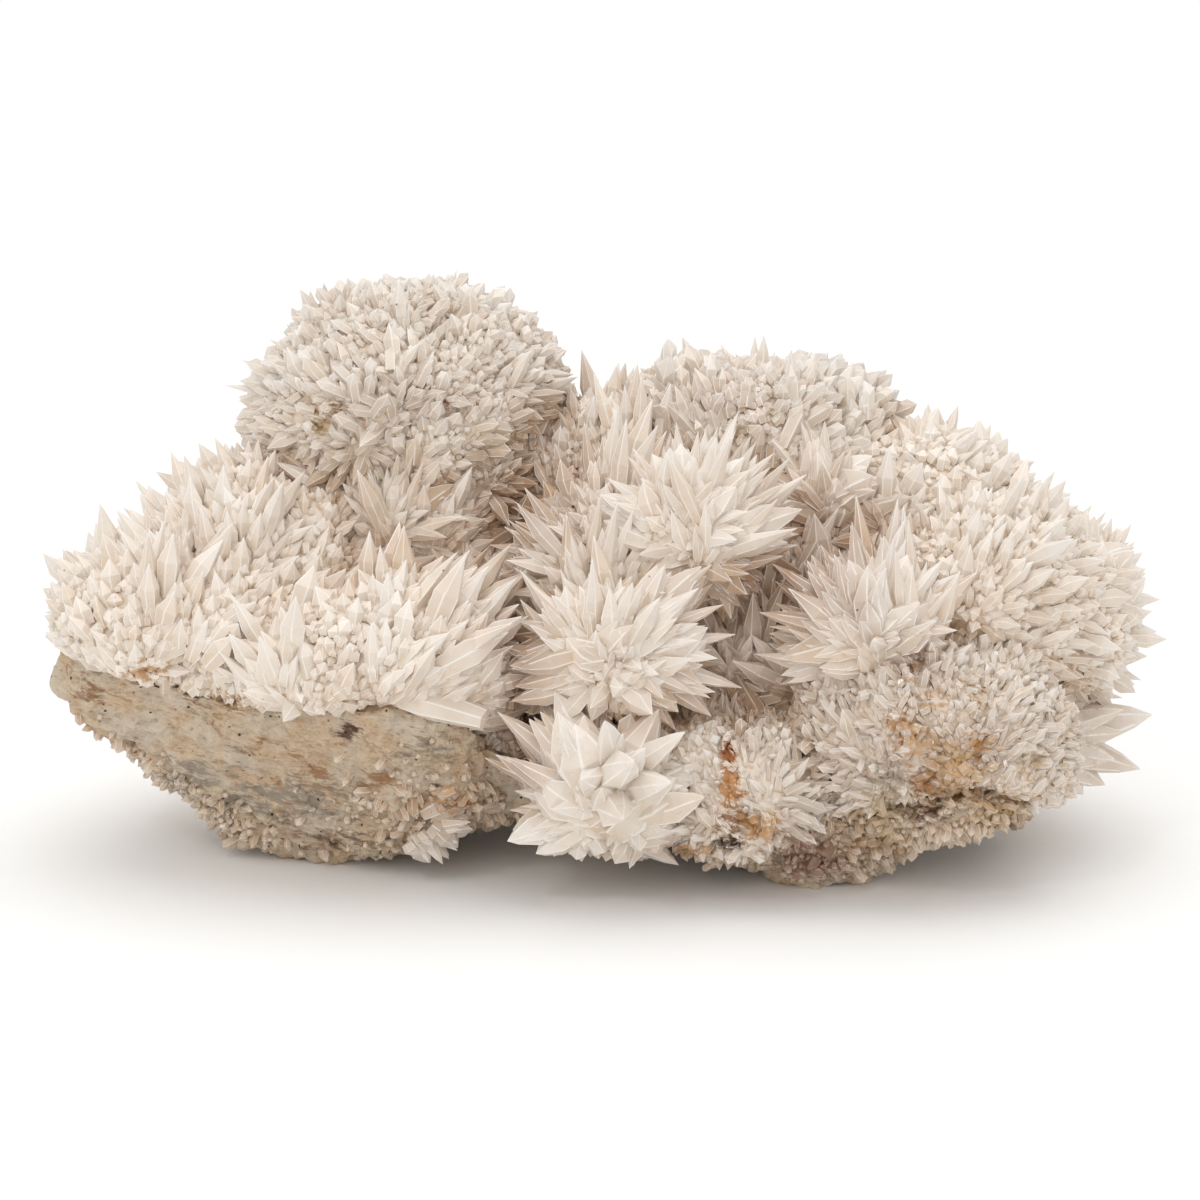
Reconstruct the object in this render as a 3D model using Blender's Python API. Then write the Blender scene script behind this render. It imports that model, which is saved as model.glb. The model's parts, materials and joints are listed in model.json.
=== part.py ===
# Calcite specimen: intergrown dogtooth crystals in radiating sprays on a thin broken matrix.
# Units are metres, +Z is up, -Y is the front, and the origin is under the middle of the whole specimen.

import math
import random

import bmesh
import bpy
from mathutils import Vector, noise
from mathutils.bvhtree import BVHTree

# Tables below are in millimetres
MM = 0.001

# Gap between the two solids, measured straight up
GAP = 0.5

# The four crystals that reach furthest end at these distances from the middle, and no other passes them
HALF_WIDTH = 130
HALF_DEPTH = 74

# Skin of the mass, how many small crystals share it, the triangles that the finished crystals keep
# and the steps of the sheet between the solids
SKIN_VOXEL = 4
SMALL_CRYSTALS = 720
ROCK_FACETS = 1500
CRYSTAL_TRIANGLES = 8950
SHEET_STEP = 20

# How many times the skin's triangles are evened out, and crossing crystals are shortened
ROUNDS = 8

# Small crystals: their spread in length, how far they follow the way out of their lobe besides the skin's
# own way, how unruly they are, and how far below the sheet they stop growing
SMALL_SPREAD = (0.6, 1.35)
OUTWARD = 0.8
UNRULY = 0.45
BURIED = 6

# Long crystals: the share of the length at which they are widest, how far every second edge stands proud,
# how far apart the roots of one spray are, and the turn from one crystal of a fan to the next in degrees
WIDEST = 0.45
EDGE_SWELL = 0.1
ROOT_SPREAD = 0.8
FAN_TURN = 137.5

# Waves of the sheet, and of the broken matrix: length and height
SHEET_WAVE = (30, 2)
ROCK_WAVES = ((11, 2.2), (4, 1.54))

# Depth of the blocks that cut the solids, below the floor
BLOCK_DEPTH = 30

# Lobes that make up the mass: centre, radii, length of the small crystals that cover it
LOBES = {
    "core": ((0, 14, 42), (96, 38, 36), 8),
    "base": ((22, 2, 22), (66, 38, 17), 6),
    "dome": ((-46, 22, 98), (37, 34, 31), 5),
    "dome neck": ((-44, 20, 68), (38, 34, 34), 8),
    "left shoulder": ((-76, 4, 68), (29, 28, 22), 8),
    "left slab": ((-86, -4, 53), (40, 36, 21), 9),
    "left edge": ((-104, -4, 46), (24, 26, 22), 7),
    "front left": ((-50, -28, 47), (32, 20, 20), 9),
    "left crust": ((-70, -8, 26), (54, 36, 28), 4),
    "crust corner": ((-40, -20, 29), (26, 20, 20), 4),
    "centre column": ((0, -14, 58), (18, 18, 32), 9),
    "centre spray": ((2, -34, 52), (13, 12, 13), 9),
    "lower spray": ((0, -42, 30), (17, 16, 13), 9),
    "lower middle": ((28, -34, 24), (22, 20, 16), 5),
    "flower": ((20, -20, 77), (16, 13, 13), 9),
    "saddle": ((0, 18, 79), (32, 24, 22), 6),
    "mound": ((38, 22, 92), (33, 26, 19), 7),
    "right shoulder": ((73, 12, 79), (26, 24, 18), 7),
    "right lobe": ((86, -2, 60), (32, 30, 24), 8),
    "right end": ((106, 0, 50), (17, 25, 20), 8),
    "right low": ((100, -6, 27), (20, 22, 20), 7),
    "fan": ((60, -30, 54), (15, 13, 15), 9),
    "lower right": ((72, -32, 33), (32, 23, 23), 5),
    "back left": ((-52, 36, 48), (42, 28, 34), 8),
    "back right": ((34, 38, 50), (42, 27, 36), 8),
    "back end": ((82, 28, 46), (30, 28, 30), 8),
    "left foot": ((-58, 4, 10), (22, 16, 16), 0),
    "right foot": ((49, -27, 10), (17, 14, 16), 0),
    "back foot": ((0, 42, 10), (22, 16, 16), 0),
}

# Broken faces that cut the left lobes: a point on the face and the way it looks
LEFT_LOBES = (
    "left shoulder", "left slab", "left edge", "front left", "left crust", "crust corner", "left foot",
)
BREAKS = (
    ((-58, -43, 41), (-0.28, -0.88, -0.38)),
    ((-105, -14, 20), (-0.67, -0.12, -0.73)),
)

# Height of the sheet on which the crystals grew: level, then bumps as centre, rise and spread
SHEET_LEVEL = 16
SHEET_BUMPS = (
    (-126, -14, 35, 46),
    (-50, -50, 21, 26),
    (-30, -46, 10, 12),
    (2, -62, -20, 18),
    (80, -48, 12, 18),
    (52, -12, 7, 26),
    (112, -8, -16, 20),
    (-20, 66, 10, 26),
    (112, 40, 8, 26),
)

# Small crystals of these lobes lean this way as well as outwards
LEANS = {
    "left slab": (0.3, -0.1, 1.0),
    "front left": (0.5, -0.2, 0.7),
    "left shoulder": (0.0, -0.3, 0.8),
}

# Sprays of long crystals: centre, then each crystal as its turn from the right in the front view, its lean
# towards the front, its reach from the centre and its width. Turn and lean are in degrees.
SPRAYS = {
    "dome": ((-49, 20, 99), (
        (170, 10, 43, 8), (160, 5, 41, 7), (175, 20, 39, 7), (150, 0, 36, 8), (15, 5, 40, 7), (30, -5, 41, 7),
        (65, -5, 36, 8), (88, 0, 33, 8), (125, 0, 32, 8), (-15, 40, 42, 6), (-8, 50, 42, 6), (-5, 20, 43, 7),
        (-26, 35, 43, 7), (130, 40, 34, 8), (60, 45, 34, 9), (20, 55, 36, 8), (170, 55, 36, 8),
    )),
    "ridge": ((-51, -2, 78), (
        (113, 8, 28, 5), (105, 20, 25, 5), (100, 15, 26, 4), (88, 15, 25, 4), (72, 15, 25, 5), (80, 35, 24, 4),
        (70, 30, 25, 4), (42, 30, 26, 4), (48, 45, 26, 4), (28, 50, 28, 5), (8, 40, 31, 5), (2, 27, 31, 5),
        (0, 47, 33, 5), (-14, 27, 35, 6), (157, -5, 40, 7),
    )),
    "left end": ((-106, -6, 56), (
        (132, -20, 23, 7), (165, -5, 22, 7), (116, -30, 24, 7), (95, -35, 25, 7), (67, -30, 30, 7),
        (150, 35, 24, 8), (110, 45, 26, 8), (70, 50, 28, 8), (-165, 30, 20, 7),
    )),
    "front left": ((-40, -34, 54), (
        (-15, 32, 23, 10), (-46, 30, 20, 9), (72, 28, 22, 7), (39, 36, 18, 7), (93, 53, 21, 8), (150, 50, 24, 9),
        (120, 25, 24, 8), (-170, 60, 20, 9),
    )),
    "column": ((1, -18, 70), (
        (150, -10, 27, 6), (143, 17, 21, 6), (158, 10, 22, 6), (170, -5, 27, 7), (-176, 17, 28, 8), (-165, 20, 28, 7),
        (-149, 36, 27, 7), (-139, 33, 30, 7),
    )),
    "centre": ((2, -36, 54), (
        (3, 30, 29, 7), (-11, 15, 32, 7), (15, 35, 29, 7), (12, 15, 28, 6), (-7, 54, 27, 7), (11, 70, 30, 8),
        (-34, 54, 27, 8), (41, 10, 31, 8), (48, 25, 28, 8), (45, 40, 28, 8), (26, 20, 30, 7), (-174, 22, 26, 8),
        (70, 30, 24, 8), (110, 40, 22, 8), (140, 55, 24, 8), (55, 80, 28, 8),
    )),
    "lower": ((-1, -45, 25), (
        (143, 8, 28, 8), (151, 15, 27, 7), (164, 5, 25, 8), (115, 32, 30, 9), (76, 38, 30, 9), (59, 40, 29, 10),
        (28, 50, 28, 9), (163, 50, 24, 8), (-165, 60, 22, 8), (-90, 75, 22, 8), (-69, 45, 18, 8), (-53, 38, 18, 8),
        (-32, 25, 21, 8), (-20, 15, 25, 8), (0, 30, 24, 8), (95, 65, 28, 9),
    )),
    "flower": ((19, -24, 78), (
        (142, 18, 25, 7), (129, 10, 25, 6), (150, 30, 26, 7), (120, 5, 24, 6), (94, 0, 26, 6), (86, 10, 26, 6),
        (76, 10, 26, 6), (68, -20, 30, 7), (56, 0, 27, 6), (48, 13, 27, 6), (36, 15, 26, 6), (29, 48, 29, 6),
        (18, 52, 30, 6), (10, 60, 31, 8), (6, 42, 27, 7), (-150, 70, 23, 6), (-96, 75, 23, 6), (-37, 70, 23, 6),
        (-35, 50, 23, 6), (85, 35, 26, 8), (115, 50, 26, 8), (60, 45, 26, 8),
    )),
    "mound": ((37, 22, 92), (
        (114, 0, 26, 9), (107, 10, 24, 8), (87, -5, 25, 9), (73, 5, 24, 8), (60, -5, 27, 8), (40, -5, 26, 8),
        (125, -10, 27, 8), (150, 0, 26, 7), (165, 15, 33, 6), (84, 44, 27, 9), (104, 53, 27, 9), (45, 49, 27, 8),
    )),
    "right flower": ((51, -3, 81), (
        (128, 17, 22, 6), (108, 10, 23, 6), (89, 12, 22, 6), (73, 27, 19, 6), (148, 50, 24, 7), (76, 62, 23, 8),
        (30, 50, 24, 8), (100, 45, 24, 7),
    )),
    "right shoulder": ((76, 8, 85), (
        (35, 5, 20, 7), (49, 0, 18, 7), (72, -12, 20, 7), (91, -5, 20, 7), (106, -13, 20, 6), (119, -15, 22, 7),
        (131, 42, 22, 7), (85, 60, 22, 8), (40, 45, 24, 8),
    )),
    "right lobe": ((112, 0, 60), (
        (122, -12, 27, 7), (115, -5, 23, 7), (100, -10, 22, 7), (85, -18, 21, 7), (73, -5, 20, 7), (58, -10, 20, 7),
        (44, -5, 19, 7), (20, 0, 17, 7), (-20, 23, 16, 7), (-35, 12, 18, 8), (90, 45, 24, 8),
        (140, 55, 28, 9), (30, 50, 20, 8), (-60, 50, 18, 8), (45, -50, 20, 8), (100, -55, 24, 8),
    )),
    "right low": ((102, -6, 26), (
        (18, 10, 24, 12), (-16, 10, 25, 11), (-44, 20, 18, 7), (-66, 14, 17, 7), (-88, 5, 19, 7), (-99, 10, 19, 7),
        (41, -5, 25, 9), (10, 50, 22, 9), (0, -50, 22, 9),
    )),
    "fan": ((59, -36, 57), (
        (100, 0, 27, 7), (92, 41, 28, 8), (82, 14, 26, 7), (74, -5, 27, 7), (131, 31, 23, 7), (152, 31, 23, 7),
        (40, 48, 20, 7), (-174, 44, 25, 6), (167, 8, 27, 7), (144, -5, 28, 7), (33, -5, 25, 8), (32, 62, 21, 8),
        (120, 55, 26, 8), (110, 25, 26, 8),
    )),
}

# The outermost crystals, at the left, right, front and back: root, tip and width
OUTERMOST = (
    ((-106, -6, 56), (-HALF_WIDTH, -7, 57), 8),
    ((112, 0, 60), (HALF_WIDTH, -2, 59), 7),
    ((0, -45, 28), (6, -HALF_DEPTH, 40), 9),
    ((-20, 48, 52), (-24, HALF_DEPTH, 56), 9),
)

# Fans of long crystals round the back and the sides, laid by rule:
# centre, the way the fan looks, how many crystals, half angle in degrees, reach and width
FANS = {
    "back dome": ((-46, 40, 100), (-0.1, 1.0, 0.3), 7, 60, 28, 9),
    "back left": ((-56, 50, 52), (-0.3, 1.0, 0.2), 10, 70, 25, 10),
    "back centre": ((-7, 45, 67), (0.0, 1.0, 0.4), 8, 55, 28, 9),
    "back mound": ((36, 38, 88), (0.2, 1.0, 0.5), 7, 55, 26, 9),
    "back right": ((34, 52, 46), (0.1, 1.0, -0.1), 9, 70, 24, 10),
    "back end": ((88, 42, 52), (0.5, 1.0, 0.1), 10, 70, 26, 10),
    "left back": ((-94, 24, 58), (-0.9, 0.6, 0.2), 9, 65, 29, 10),
    "right back": ((108, 14, 58), (1.0, 0.5, 0.3), 7, 60, 21, 9),
}

CALCITE = (0.76, 0.69, 0.61)
ROCK = (0.55, 0.40, 0.28)


def clear_scene():
    for obj in list(bpy.data.objects):
        bpy.data.objects.remove(obj, do_unlink=True)


def add_object(name, mesh):
    obj = bpy.data.objects.new(name, mesh)
    bpy.context.scene.collection.objects.link(obj)
    return obj


def add_from_bmesh(name, bm):
    mesh = bpy.data.meshes.new(name)
    bm.to_mesh(mesh)
    bm.free()
    return add_object(name, mesh)


def face_outwards(bm):
    """Turn the faces of one closed body so that they all point out of it."""
    bmesh.ops.recalc_face_normals(bm, faces=bm.faces[:])
    if bm.calc_volume(signed=True) < 0:
        bmesh.ops.reverse_faces(bm, faces=bm.faces[:])


def evaluated(obj, name):
    """Return a new object with obj's modifiers applied, and remove obj."""
    bpy.context.view_layer.update()
    graph = bpy.context.evaluated_depsgraph_get()
    mesh = bpy.data.meshes.new_from_object(obj.evaluated_get(graph))
    bpy.data.objects.remove(obj, do_unlink=True)
    return add_object(name, mesh)


def boolean(obj, other, operation, name):
    """Combine obj with other, which is used up, and return the result under the given name."""
    mod = obj.modifiers.new("Combine", "BOOLEAN")
    mod.operation = operation
    mod.solver = "EXACT"
    mod.use_self = True
    mod.object = other
    result = evaluated(obj, name)
    bpy.data.objects.remove(other, do_unlink=True)
    return result


def lobe_ball(bm, name):
    """Add one lobe as a stretched ball, with its broken faces cut if it is on the left."""
    centre, radii, _ = LOBES[name]
    ball = bmesh.new()
    bmesh.ops.create_icosphere(ball, subdivisions=4, radius=1)
    for v in ball.verts:
        v.co = Vector((c + r * u for c, r, u in zip(centre, radii, v.co))) * MM
    if name in LEFT_LOBES:
        for point, normal in BREAKS:
            everything = ball.verts[:] + ball.edges[:] + ball.faces[:]
            cut = bmesh.ops.bisect_plane(
                ball, geom=everything, plane_co=Vector(point) * MM, plane_no=normal, clear_outer=True
            )
            edges = [e for e in cut["geom_cut"] if isinstance(e, bmesh.types.BMEdge)]
            if edges:
                bmesh.ops.contextual_create(ball, geom=edges)
    mesh = bpy.data.meshes.new(name)
    ball.to_mesh(mesh)
    ball.free()
    bm.from_mesh(mesh)
    bpy.data.meshes.remove(mesh)


def build_mass():
    """Join the lobes into one lumpy skin of even faces."""
    bm = bmesh.new()
    for name in LOBES:
        lobe_ball(bm, name)
    obj = add_from_bmesh("mass", bm)
    remesh = obj.modifiers.new("Skin", "REMESH")
    remesh.mode = "VOXEL"
    remesh.voxel_size = SKIN_VOXEL * MM
    smooth = obj.modifiers.new("Ease", "SMOOTH")
    smooth.factor = 0.5
    smooth.iterations = 2
    return evaluated(obj, "mass")


def even_triangles(mass, count, name):
    """Return a bmesh of the mass with about count triangles of even size."""
    obj = add_object(name, mass.data.copy())
    triangulate = obj.modifiers.new("Triangles", "TRIANGULATE")
    triangulate.quad_method = "BEAUTY"
    decimate = obj.modifiers.new("Fewer", "DECIMATE")
    decimate.ratio = count / (2 * len(mass.data.polygons))
    decimate.use_collapse_triangulate = True
    obj = evaluated(obj, name)
    bm = bmesh.new()
    bm.from_mesh(obj.data)
    bpy.data.objects.remove(obj, do_unlink=True)
    skin = mass_tree(mass)
    for _ in range(ROUNDS):
        moved = {}
        for v in bm.verts:
            middle = sum((e.other_vert(v).co for e in v.link_edges), Vector()) / len(v.link_edges)
            moved[v] = skin.find_nearest(v.co.lerp(middle, 0.5))[0]
        for v, place in moved.items():
            v.co = place
    face_outwards(bm)
    bm.normal_update()
    return bm


def mass_tree(mass):
    return BVHTree.FromPolygons([v.co for v in mass.data.vertices], [p.vertices for p in mass.data.polygons])


def nearest_lobe(point):
    """Return the name of the lobe that the point lies deepest in."""
    def depth(name):
        centre, radii, _ = LOBES[name]
        return Vector(((point[i] / MM - centre[i]) / radii[i] for i in range(3))).length

    return min(LOBES, key=depth)


def sheet_height(x, y):
    """Height of the sheet in metres, at a place given in metres."""
    z = SHEET_LEVEL
    for cx, cy, rise, spread in SHEET_BUMPS:
        z += rise * math.exp(-((x / MM - cx) ** 2 + (y / MM - cy) ** 2) / (2 * spread ** 2))
    return z * MM


def build_bed(offset, name):
    """Return a closed block that fills everything below the sheet, its top raised by offset millimetres."""
    reach = 8 * SHEET_STEP
    steps = 2 * reach // SHEET_STEP
    bm = bmesh.new()
    rows = []
    for j in range(steps + 1):
        row = []
        for i in range(steps + 1):
            x = (i * SHEET_STEP - reach) * MM
            y = (j * SHEET_STEP - reach) * MM
            wave = SHEET_WAVE[1] * noise.noise(Vector((x, y, 0)) / (SHEET_WAVE[0] * MM))
            row.append(bm.verts.new((x, y, sheet_height(x, y) + (offset + wave) * MM)))
        rows.append(row)
    for j in range(steps):
        for i in range(steps):
            a, b, c, d = rows[j][i], rows[j][i + 1], rows[j + 1][i + 1], rows[j + 1][i]
            bm.faces.new((a, b, c))
            bm.faces.new((a, c, d))
    top = bm.faces[:]
    base = bmesh.ops.extrude_face_region(bm, geom=top)
    for v in (g for g in base["geom"] if isinstance(g, bmesh.types.BMVert)):
        v.co.z = -BLOCK_DEPTH * MM
    face_outwards(bm)
    return add_from_bmesh(name, bm)


def random_vector(rng, reach):
    return Vector((rng.uniform(-reach, reach) for _ in range(3)))


def growth(centre, normal, rng):
    """Return the way a small crystal grows from the skin, and its length in metres."""
    name = nearest_lobe(centre)
    middle, radii, length = LOBES[name]
    out = (centre - Vector(middle) * MM).normalized()
    lean = Vector(LEANS.get(name, (0, 0, 0.2)))
    way = (normal + OUTWARD * out + lean + random_vector(rng, UNRULY)).normalized()
    if way.dot(normal) < 0.55:
        way = (way + normal).normalized()
    return way, length * rng.uniform(*SMALL_SPREAD) * MM


def kept_inside(root, tip):
    """Shorten a crystal whose tip would pass the outermost ones."""
    share = 1
    for axis, half in ((0, HALF_WIDTH - 1), (1, HALF_DEPTH - 1)):
        if abs(tip[axis]) > half * MM:
            share = min(share, (half * MM - abs(root[axis])) / (abs(tip[axis]) - abs(root[axis])))
    return root.lerp(tip, share)


def crossing_tips(bm):
    """Return the tips of small crystals whose faces run through faces that they share no corner with."""
    bm.faces.ensure_lookup_table()
    tree = BVHTree.FromBMesh(bm)
    tips = set()
    for i, j in tree.overlap(tree):
        first, second = bm.faces[i].verts, bm.faces[j].verts
        if i < j and not set(first) & set(second):
            tips.update((first[2], second[2]))
    return tips


def build_druse(mass):
    """Cover the mass with small crystals that share their base edges, one on each patch of the skin."""
    rng = random.Random(11)
    skin = mass_tree(mass)
    patches = even_triangles(mass, 2 * SMALL_CRYSTALS, "patches")
    bm = bmesh.new()
    corners = {}
    feet = {}
    for face in patches.faces:
        corners[face] = bm.verts.new(face.calc_center_median())
    for v in patches.verts:
        loop = v.link_loops[0]
        ring = []
        for _ in v.link_loops:
            ring.append(corners[loop.face])
            loop = loop.link_loop_prev.link_loop_radial_next
        way, length = growth(v.co, v.normal, rng)
        if v.co.z < sheet_height(v.co.x, v.co.y) - BURIED * MM:
            length = 0
        if skin.ray_cast(v.co + v.normal * MM, way, 3 * length)[0] is not None:
            length *= 0.35
        tip = bm.verts.new(kept_inside(v.co, v.co + way * length))
        feet[tip] = v.co.copy()
        for a, b in zip(ring, ring[1:] + ring[:1]):
            bm.faces.new((a, b, tip))
    patches.free()
    for _ in range(ROUNDS):
        tips = crossing_tips(bm)
        for tip in tips:
            tip.co = tip.co.lerp(feet[tip], 0.4)
        if not tips:
            break
    face_outwards(bm)
    return add_from_bmesh("druse", bm)


def add_crystal(bm, root, tip, width, roll):
    """Add a six-sided crystal, pointed at root and tip and widest near its middle."""
    way = (tip - root).normalized()
    side = way.orthogonal().normalized()
    length = (tip - root).length
    middle = root + way * length * WIDEST
    loop = []
    for k in range(6):
        turn = roll + k * math.pi / 3
        swell = 1 + EDGE_SWELL if k % 2 else 1 - EDGE_SWELL
        spoke = side * math.cos(turn) + way.cross(side) * math.sin(turn)
        loop.append(bm.verts.new(middle + spoke * width / 2 * swell))
    start = bm.verts.new(root)
    end = bm.verts.new(tip)
    for k in range(6):
        j = (k + 1) % 6
        bm.faces.new((start, loop[j], loop[k]))
        bm.faces.new((loop[k], loop[j], end))


def spray_way(turn, lean):
    """Return the direction of a crystal from its turn in the front view and its lean to the front."""
    t = math.radians(turn)
    s = math.radians(lean)
    return Vector((math.cos(t) * math.cos(s), -math.sin(s), math.sin(t) * math.cos(s)))


def fan_ways(look, count, half_angle, rng):
    """Return directions spread evenly over a cone round look."""
    look = Vector(look).normalized()
    side = look.orthogonal().normalized()
    other = look.cross(side)
    ways = []
    for k in range(count):
        off = math.radians(half_angle) * math.sqrt((k + 0.5) / count)
        turn = k * math.radians(FAN_TURN)
        spoke = side * math.cos(turn) + other * math.sin(turn)
        ways.append((look * math.cos(off) + spoke * math.sin(off) + random_vector(rng, 0.1)).normalized())
    return ways


def long_crystals():
    """Return the outermost crystals, then each spray and each fan, as lists of root, tip and width in metres."""
    rng = random.Random(5)
    groups = [[(Vector(root) * MM, Vector(tip) * MM, width * MM) for root, tip, width in OUTERMOST]]
    for centre, crystals in SPRAYS.values():
        group = []
        for turn, lean, reach, width in crystals:
            root = (Vector(centre) + random_vector(rng, ROOT_SPREAD)) * MM
            tip = kept_inside(root, root + spray_way(turn, lean) * reach * MM)
            group.append((root, tip, width * MM))
        groups.append(group)
    for centre, look, count, half_angle, reach, width in FANS.values():
        group = []
        for way in fan_ways(look, count, half_angle, rng):
            root = (Vector(centre) + random_vector(rng, ROOT_SPREAD)) * MM
            tip = kept_inside(root, root + way * reach * rng.uniform(0.85, 1.1) * MM)
            group.append((root, tip, width * MM * rng.uniform(0.85, 1.1)))
        groups.append(group)
    return groups


def join_long_crystals(obj):
    """Fuse the long crystals to the druse, one spray at a time."""
    rng = random.Random(8)
    for group in long_crystals():
        bm = bmesh.new()
        for root, tip, width in group:
            add_crystal(bm, root, tip, width, rng.uniform(0, 1))
        obj = boolean(obj, add_from_bmesh("spray", bm), "UNION", "crystals")
    return obj


def build_rock(mass):
    """Make the rough broken body whose lower part is the matrix, flat where it stands on z = 0."""
    bm = even_triangles(mass, ROCK_FACETS, "rock")
    for v in bm.verts:
        rough = sum(height * noise.noise(v.co / (length * MM)) for length, height in ROCK_WAVES)
        v.co += v.normal * rough * MM
    return add_from_bmesh("rock", bm)


def build_slab_below_floor():
    """Return a block with its top on z = 0, wider than the specimen."""
    bm = bmesh.new()
    bmesh.ops.create_cube(bm, size=1)
    for v in bm.verts:
        v.co = Vector((v.co.x * 3 * HALF_WIDTH, v.co.y * 4 * HALF_DEPTH, (v.co.z - 0.5) * 2 * BLOCK_DEPTH)) * MM
    return add_from_bmesh("floor cut", bm)


def finish(obj, color, roughness):
    material = bpy.data.materials.new(obj.name)
    material.use_nodes = True
    shader = material.node_tree.nodes["Principled BSDF"]
    shader.inputs["Base Color"].default_value = (*color, 1)
    shader.inputs["Roughness"].default_value = roughness
    shader.inputs["Metallic"].default_value = 0
    obj.data.materials.clear()
    obj.data.materials.append(material)


def thin_out(obj, triangles):
    """Collapse the slivers that the unions leave, down to the given number of triangles."""
    name = obj.name
    count = sum(len(p.vertices) - 2 for p in obj.data.polygons)
    mod = obj.modifiers.new("Thin out", "DECIMATE")
    mod.ratio = min(1, triangles / count)
    mod.use_collapse_triangulate = True
    return evaluated(obj, name)


def connected_groups(bm):
    """Return the vertices of each separate body, the smallest body first."""
    groups = []
    seen = set()
    for start in bm.verts:
        if start in seen:
            continue
        seen.add(start)
        group = [start]
        for v in group:
            for e in v.link_edges:
                other = e.other_vert(v)
                if other not in seen:
                    seen.add(other)
                    group.append(other)
        groups.append(group)
    return sorted(groups, key=len)


def keep_largest_body(obj):
    """Remove small closed bodies and inner shells that a cut or a union leaves loose."""
    bm = bmesh.new()
    bm.from_mesh(obj.data)
    bmesh.ops.remove_doubles(bm, verts=bm.verts[:], dist=2e-6)
    bmesh.ops.triangulate(bm, faces=bm.faces[:], ngon_method="EAR_CLIP")
    for group in connected_groups(bm)[:-1]:
        bmesh.ops.delete(bm, geom=group, context="VERTS")
    bm.to_mesh(obj.data)
    bm.free()


def build():
    clear_scene()
    mass = build_mass()
    crystals = join_long_crystals(build_druse(mass))
    crystals = boolean(crystals, build_bed(GAP / 2, "bed above"), "DIFFERENCE", "crystals")
    matrix = boolean(build_rock(mass), build_bed(-GAP / 2, "bed below"), "INTERSECT", "matrix whole")
    matrix = boolean(matrix, build_slab_below_floor(), "DIFFERENCE", "matrix")
    bpy.data.objects.remove(mass, do_unlink=True)
    for obj in (crystals, matrix):
        keep_largest_body(obj)
    crystals = thin_out(crystals, CRYSTAL_TRIANGLES)
    finish(crystals, CALCITE, 0.35)
    finish(matrix, ROCK, 0.85)


build()
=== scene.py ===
# Calcite specimen: milky dogtooth crystals in sprays on a broken tan crust
import json
import math
import random

import bmesh
import bpy
import numpy as np
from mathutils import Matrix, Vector, noise
from mathutils.bvhtree import BVHTree
from mathutils.kdtree import KDTree

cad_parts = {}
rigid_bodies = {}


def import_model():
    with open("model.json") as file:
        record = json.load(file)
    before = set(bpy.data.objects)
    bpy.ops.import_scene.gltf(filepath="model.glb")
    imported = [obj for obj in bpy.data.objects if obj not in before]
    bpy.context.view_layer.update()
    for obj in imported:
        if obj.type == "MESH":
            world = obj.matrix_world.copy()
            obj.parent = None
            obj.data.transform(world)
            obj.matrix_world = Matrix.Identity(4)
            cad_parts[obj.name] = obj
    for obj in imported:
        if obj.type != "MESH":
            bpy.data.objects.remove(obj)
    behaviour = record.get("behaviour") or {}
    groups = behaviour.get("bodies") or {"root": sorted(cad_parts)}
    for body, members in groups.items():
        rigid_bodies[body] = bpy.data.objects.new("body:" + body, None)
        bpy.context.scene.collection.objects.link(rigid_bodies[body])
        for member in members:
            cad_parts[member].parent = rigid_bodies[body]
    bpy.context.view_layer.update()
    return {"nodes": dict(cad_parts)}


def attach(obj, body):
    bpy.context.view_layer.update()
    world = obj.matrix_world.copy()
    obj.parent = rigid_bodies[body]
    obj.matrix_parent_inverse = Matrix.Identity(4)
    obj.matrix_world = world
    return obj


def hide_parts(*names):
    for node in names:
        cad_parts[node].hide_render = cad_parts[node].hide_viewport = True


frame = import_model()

mm = 0.001                       # the tables below are in millimetres

# crystals are held to about these: some pass them by 1 or 2 mm; long ones aim to end the margin inside them,
# and above the lowest
outermost = dict(halfWidth=130, halfDepth=74, height=134.3, floor=0.6, margin=0.5, lowest=4)


# helpers

def linear(hexColour):
    # sRGB hex to the linear colour that shaders want
    parts = [int(hexColour[i:i + 2], 16) / 255 for i in (1, 3, 5)]
    return (*(c / 12.92 if c <= 0.04045 else ((c + 0.055) / 1.055) ** 2.4 for c in parts), 1)


def addNode(tree, kind, inputs=None, stops=(), **settings):
    # one node with its settings; an input takes a value, or a socket to link, and a ramp takes its stops
    node = tree.nodes.new(kind)
    for key, value in settings.items():
        setattr(node, key, value)
    for key, value in (inputs or {}).items():
        if isinstance(value, bpy.types.NodeSocket):
            tree.links.new(value, node.inputs[key])
        else:
            node.inputs[key].default_value = value
    for k, (at, colour) in enumerate(stops):
        stop = node.color_ramp.elements[k] if k < 2 else node.color_ramp.elements.new(at)
        stop.position = at
        stop.color = linear(colour)
    return node


def addObject(name, mesh):
    obj = bpy.data.objects.new(name, mesh)
    bpy.context.scene.collection.objects.link(obj)
    return obj


def asMesh(obj, name):
    # the object with its modifiers turned into a plain mesh, in place of the old one
    graph = bpy.context.evaluated_depsgraph_get()
    mesh = bpy.data.meshes.new_from_object(obj.evaluated_get(graph))
    bpy.data.objects.remove(obj, do_unlink=True)
    mesh.name = name
    return addObject(name, mesh)


def placesOf(mesh):
    places = np.empty(len(mesh.vertices) * 3, np.float32)
    mesh.vertices.foreach_get("co", places)
    return places.reshape(-1, 3)


def setAttribute(mesh, name, kind, values):
    layer = mesh.attributes.get(name) or mesh.attributes.new(name, kind, "POINT")
    field = "vector" if kind == "FLOAT_VECTOR" else "value"
    layer.data.foreach_set(field, np.asarray(values, np.float32).ravel())


def treeOf(mesh):
    return BVHTree.FromPolygons([v.co for v in mesh.vertices], [p.vertices for p in mesh.polygons])


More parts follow.
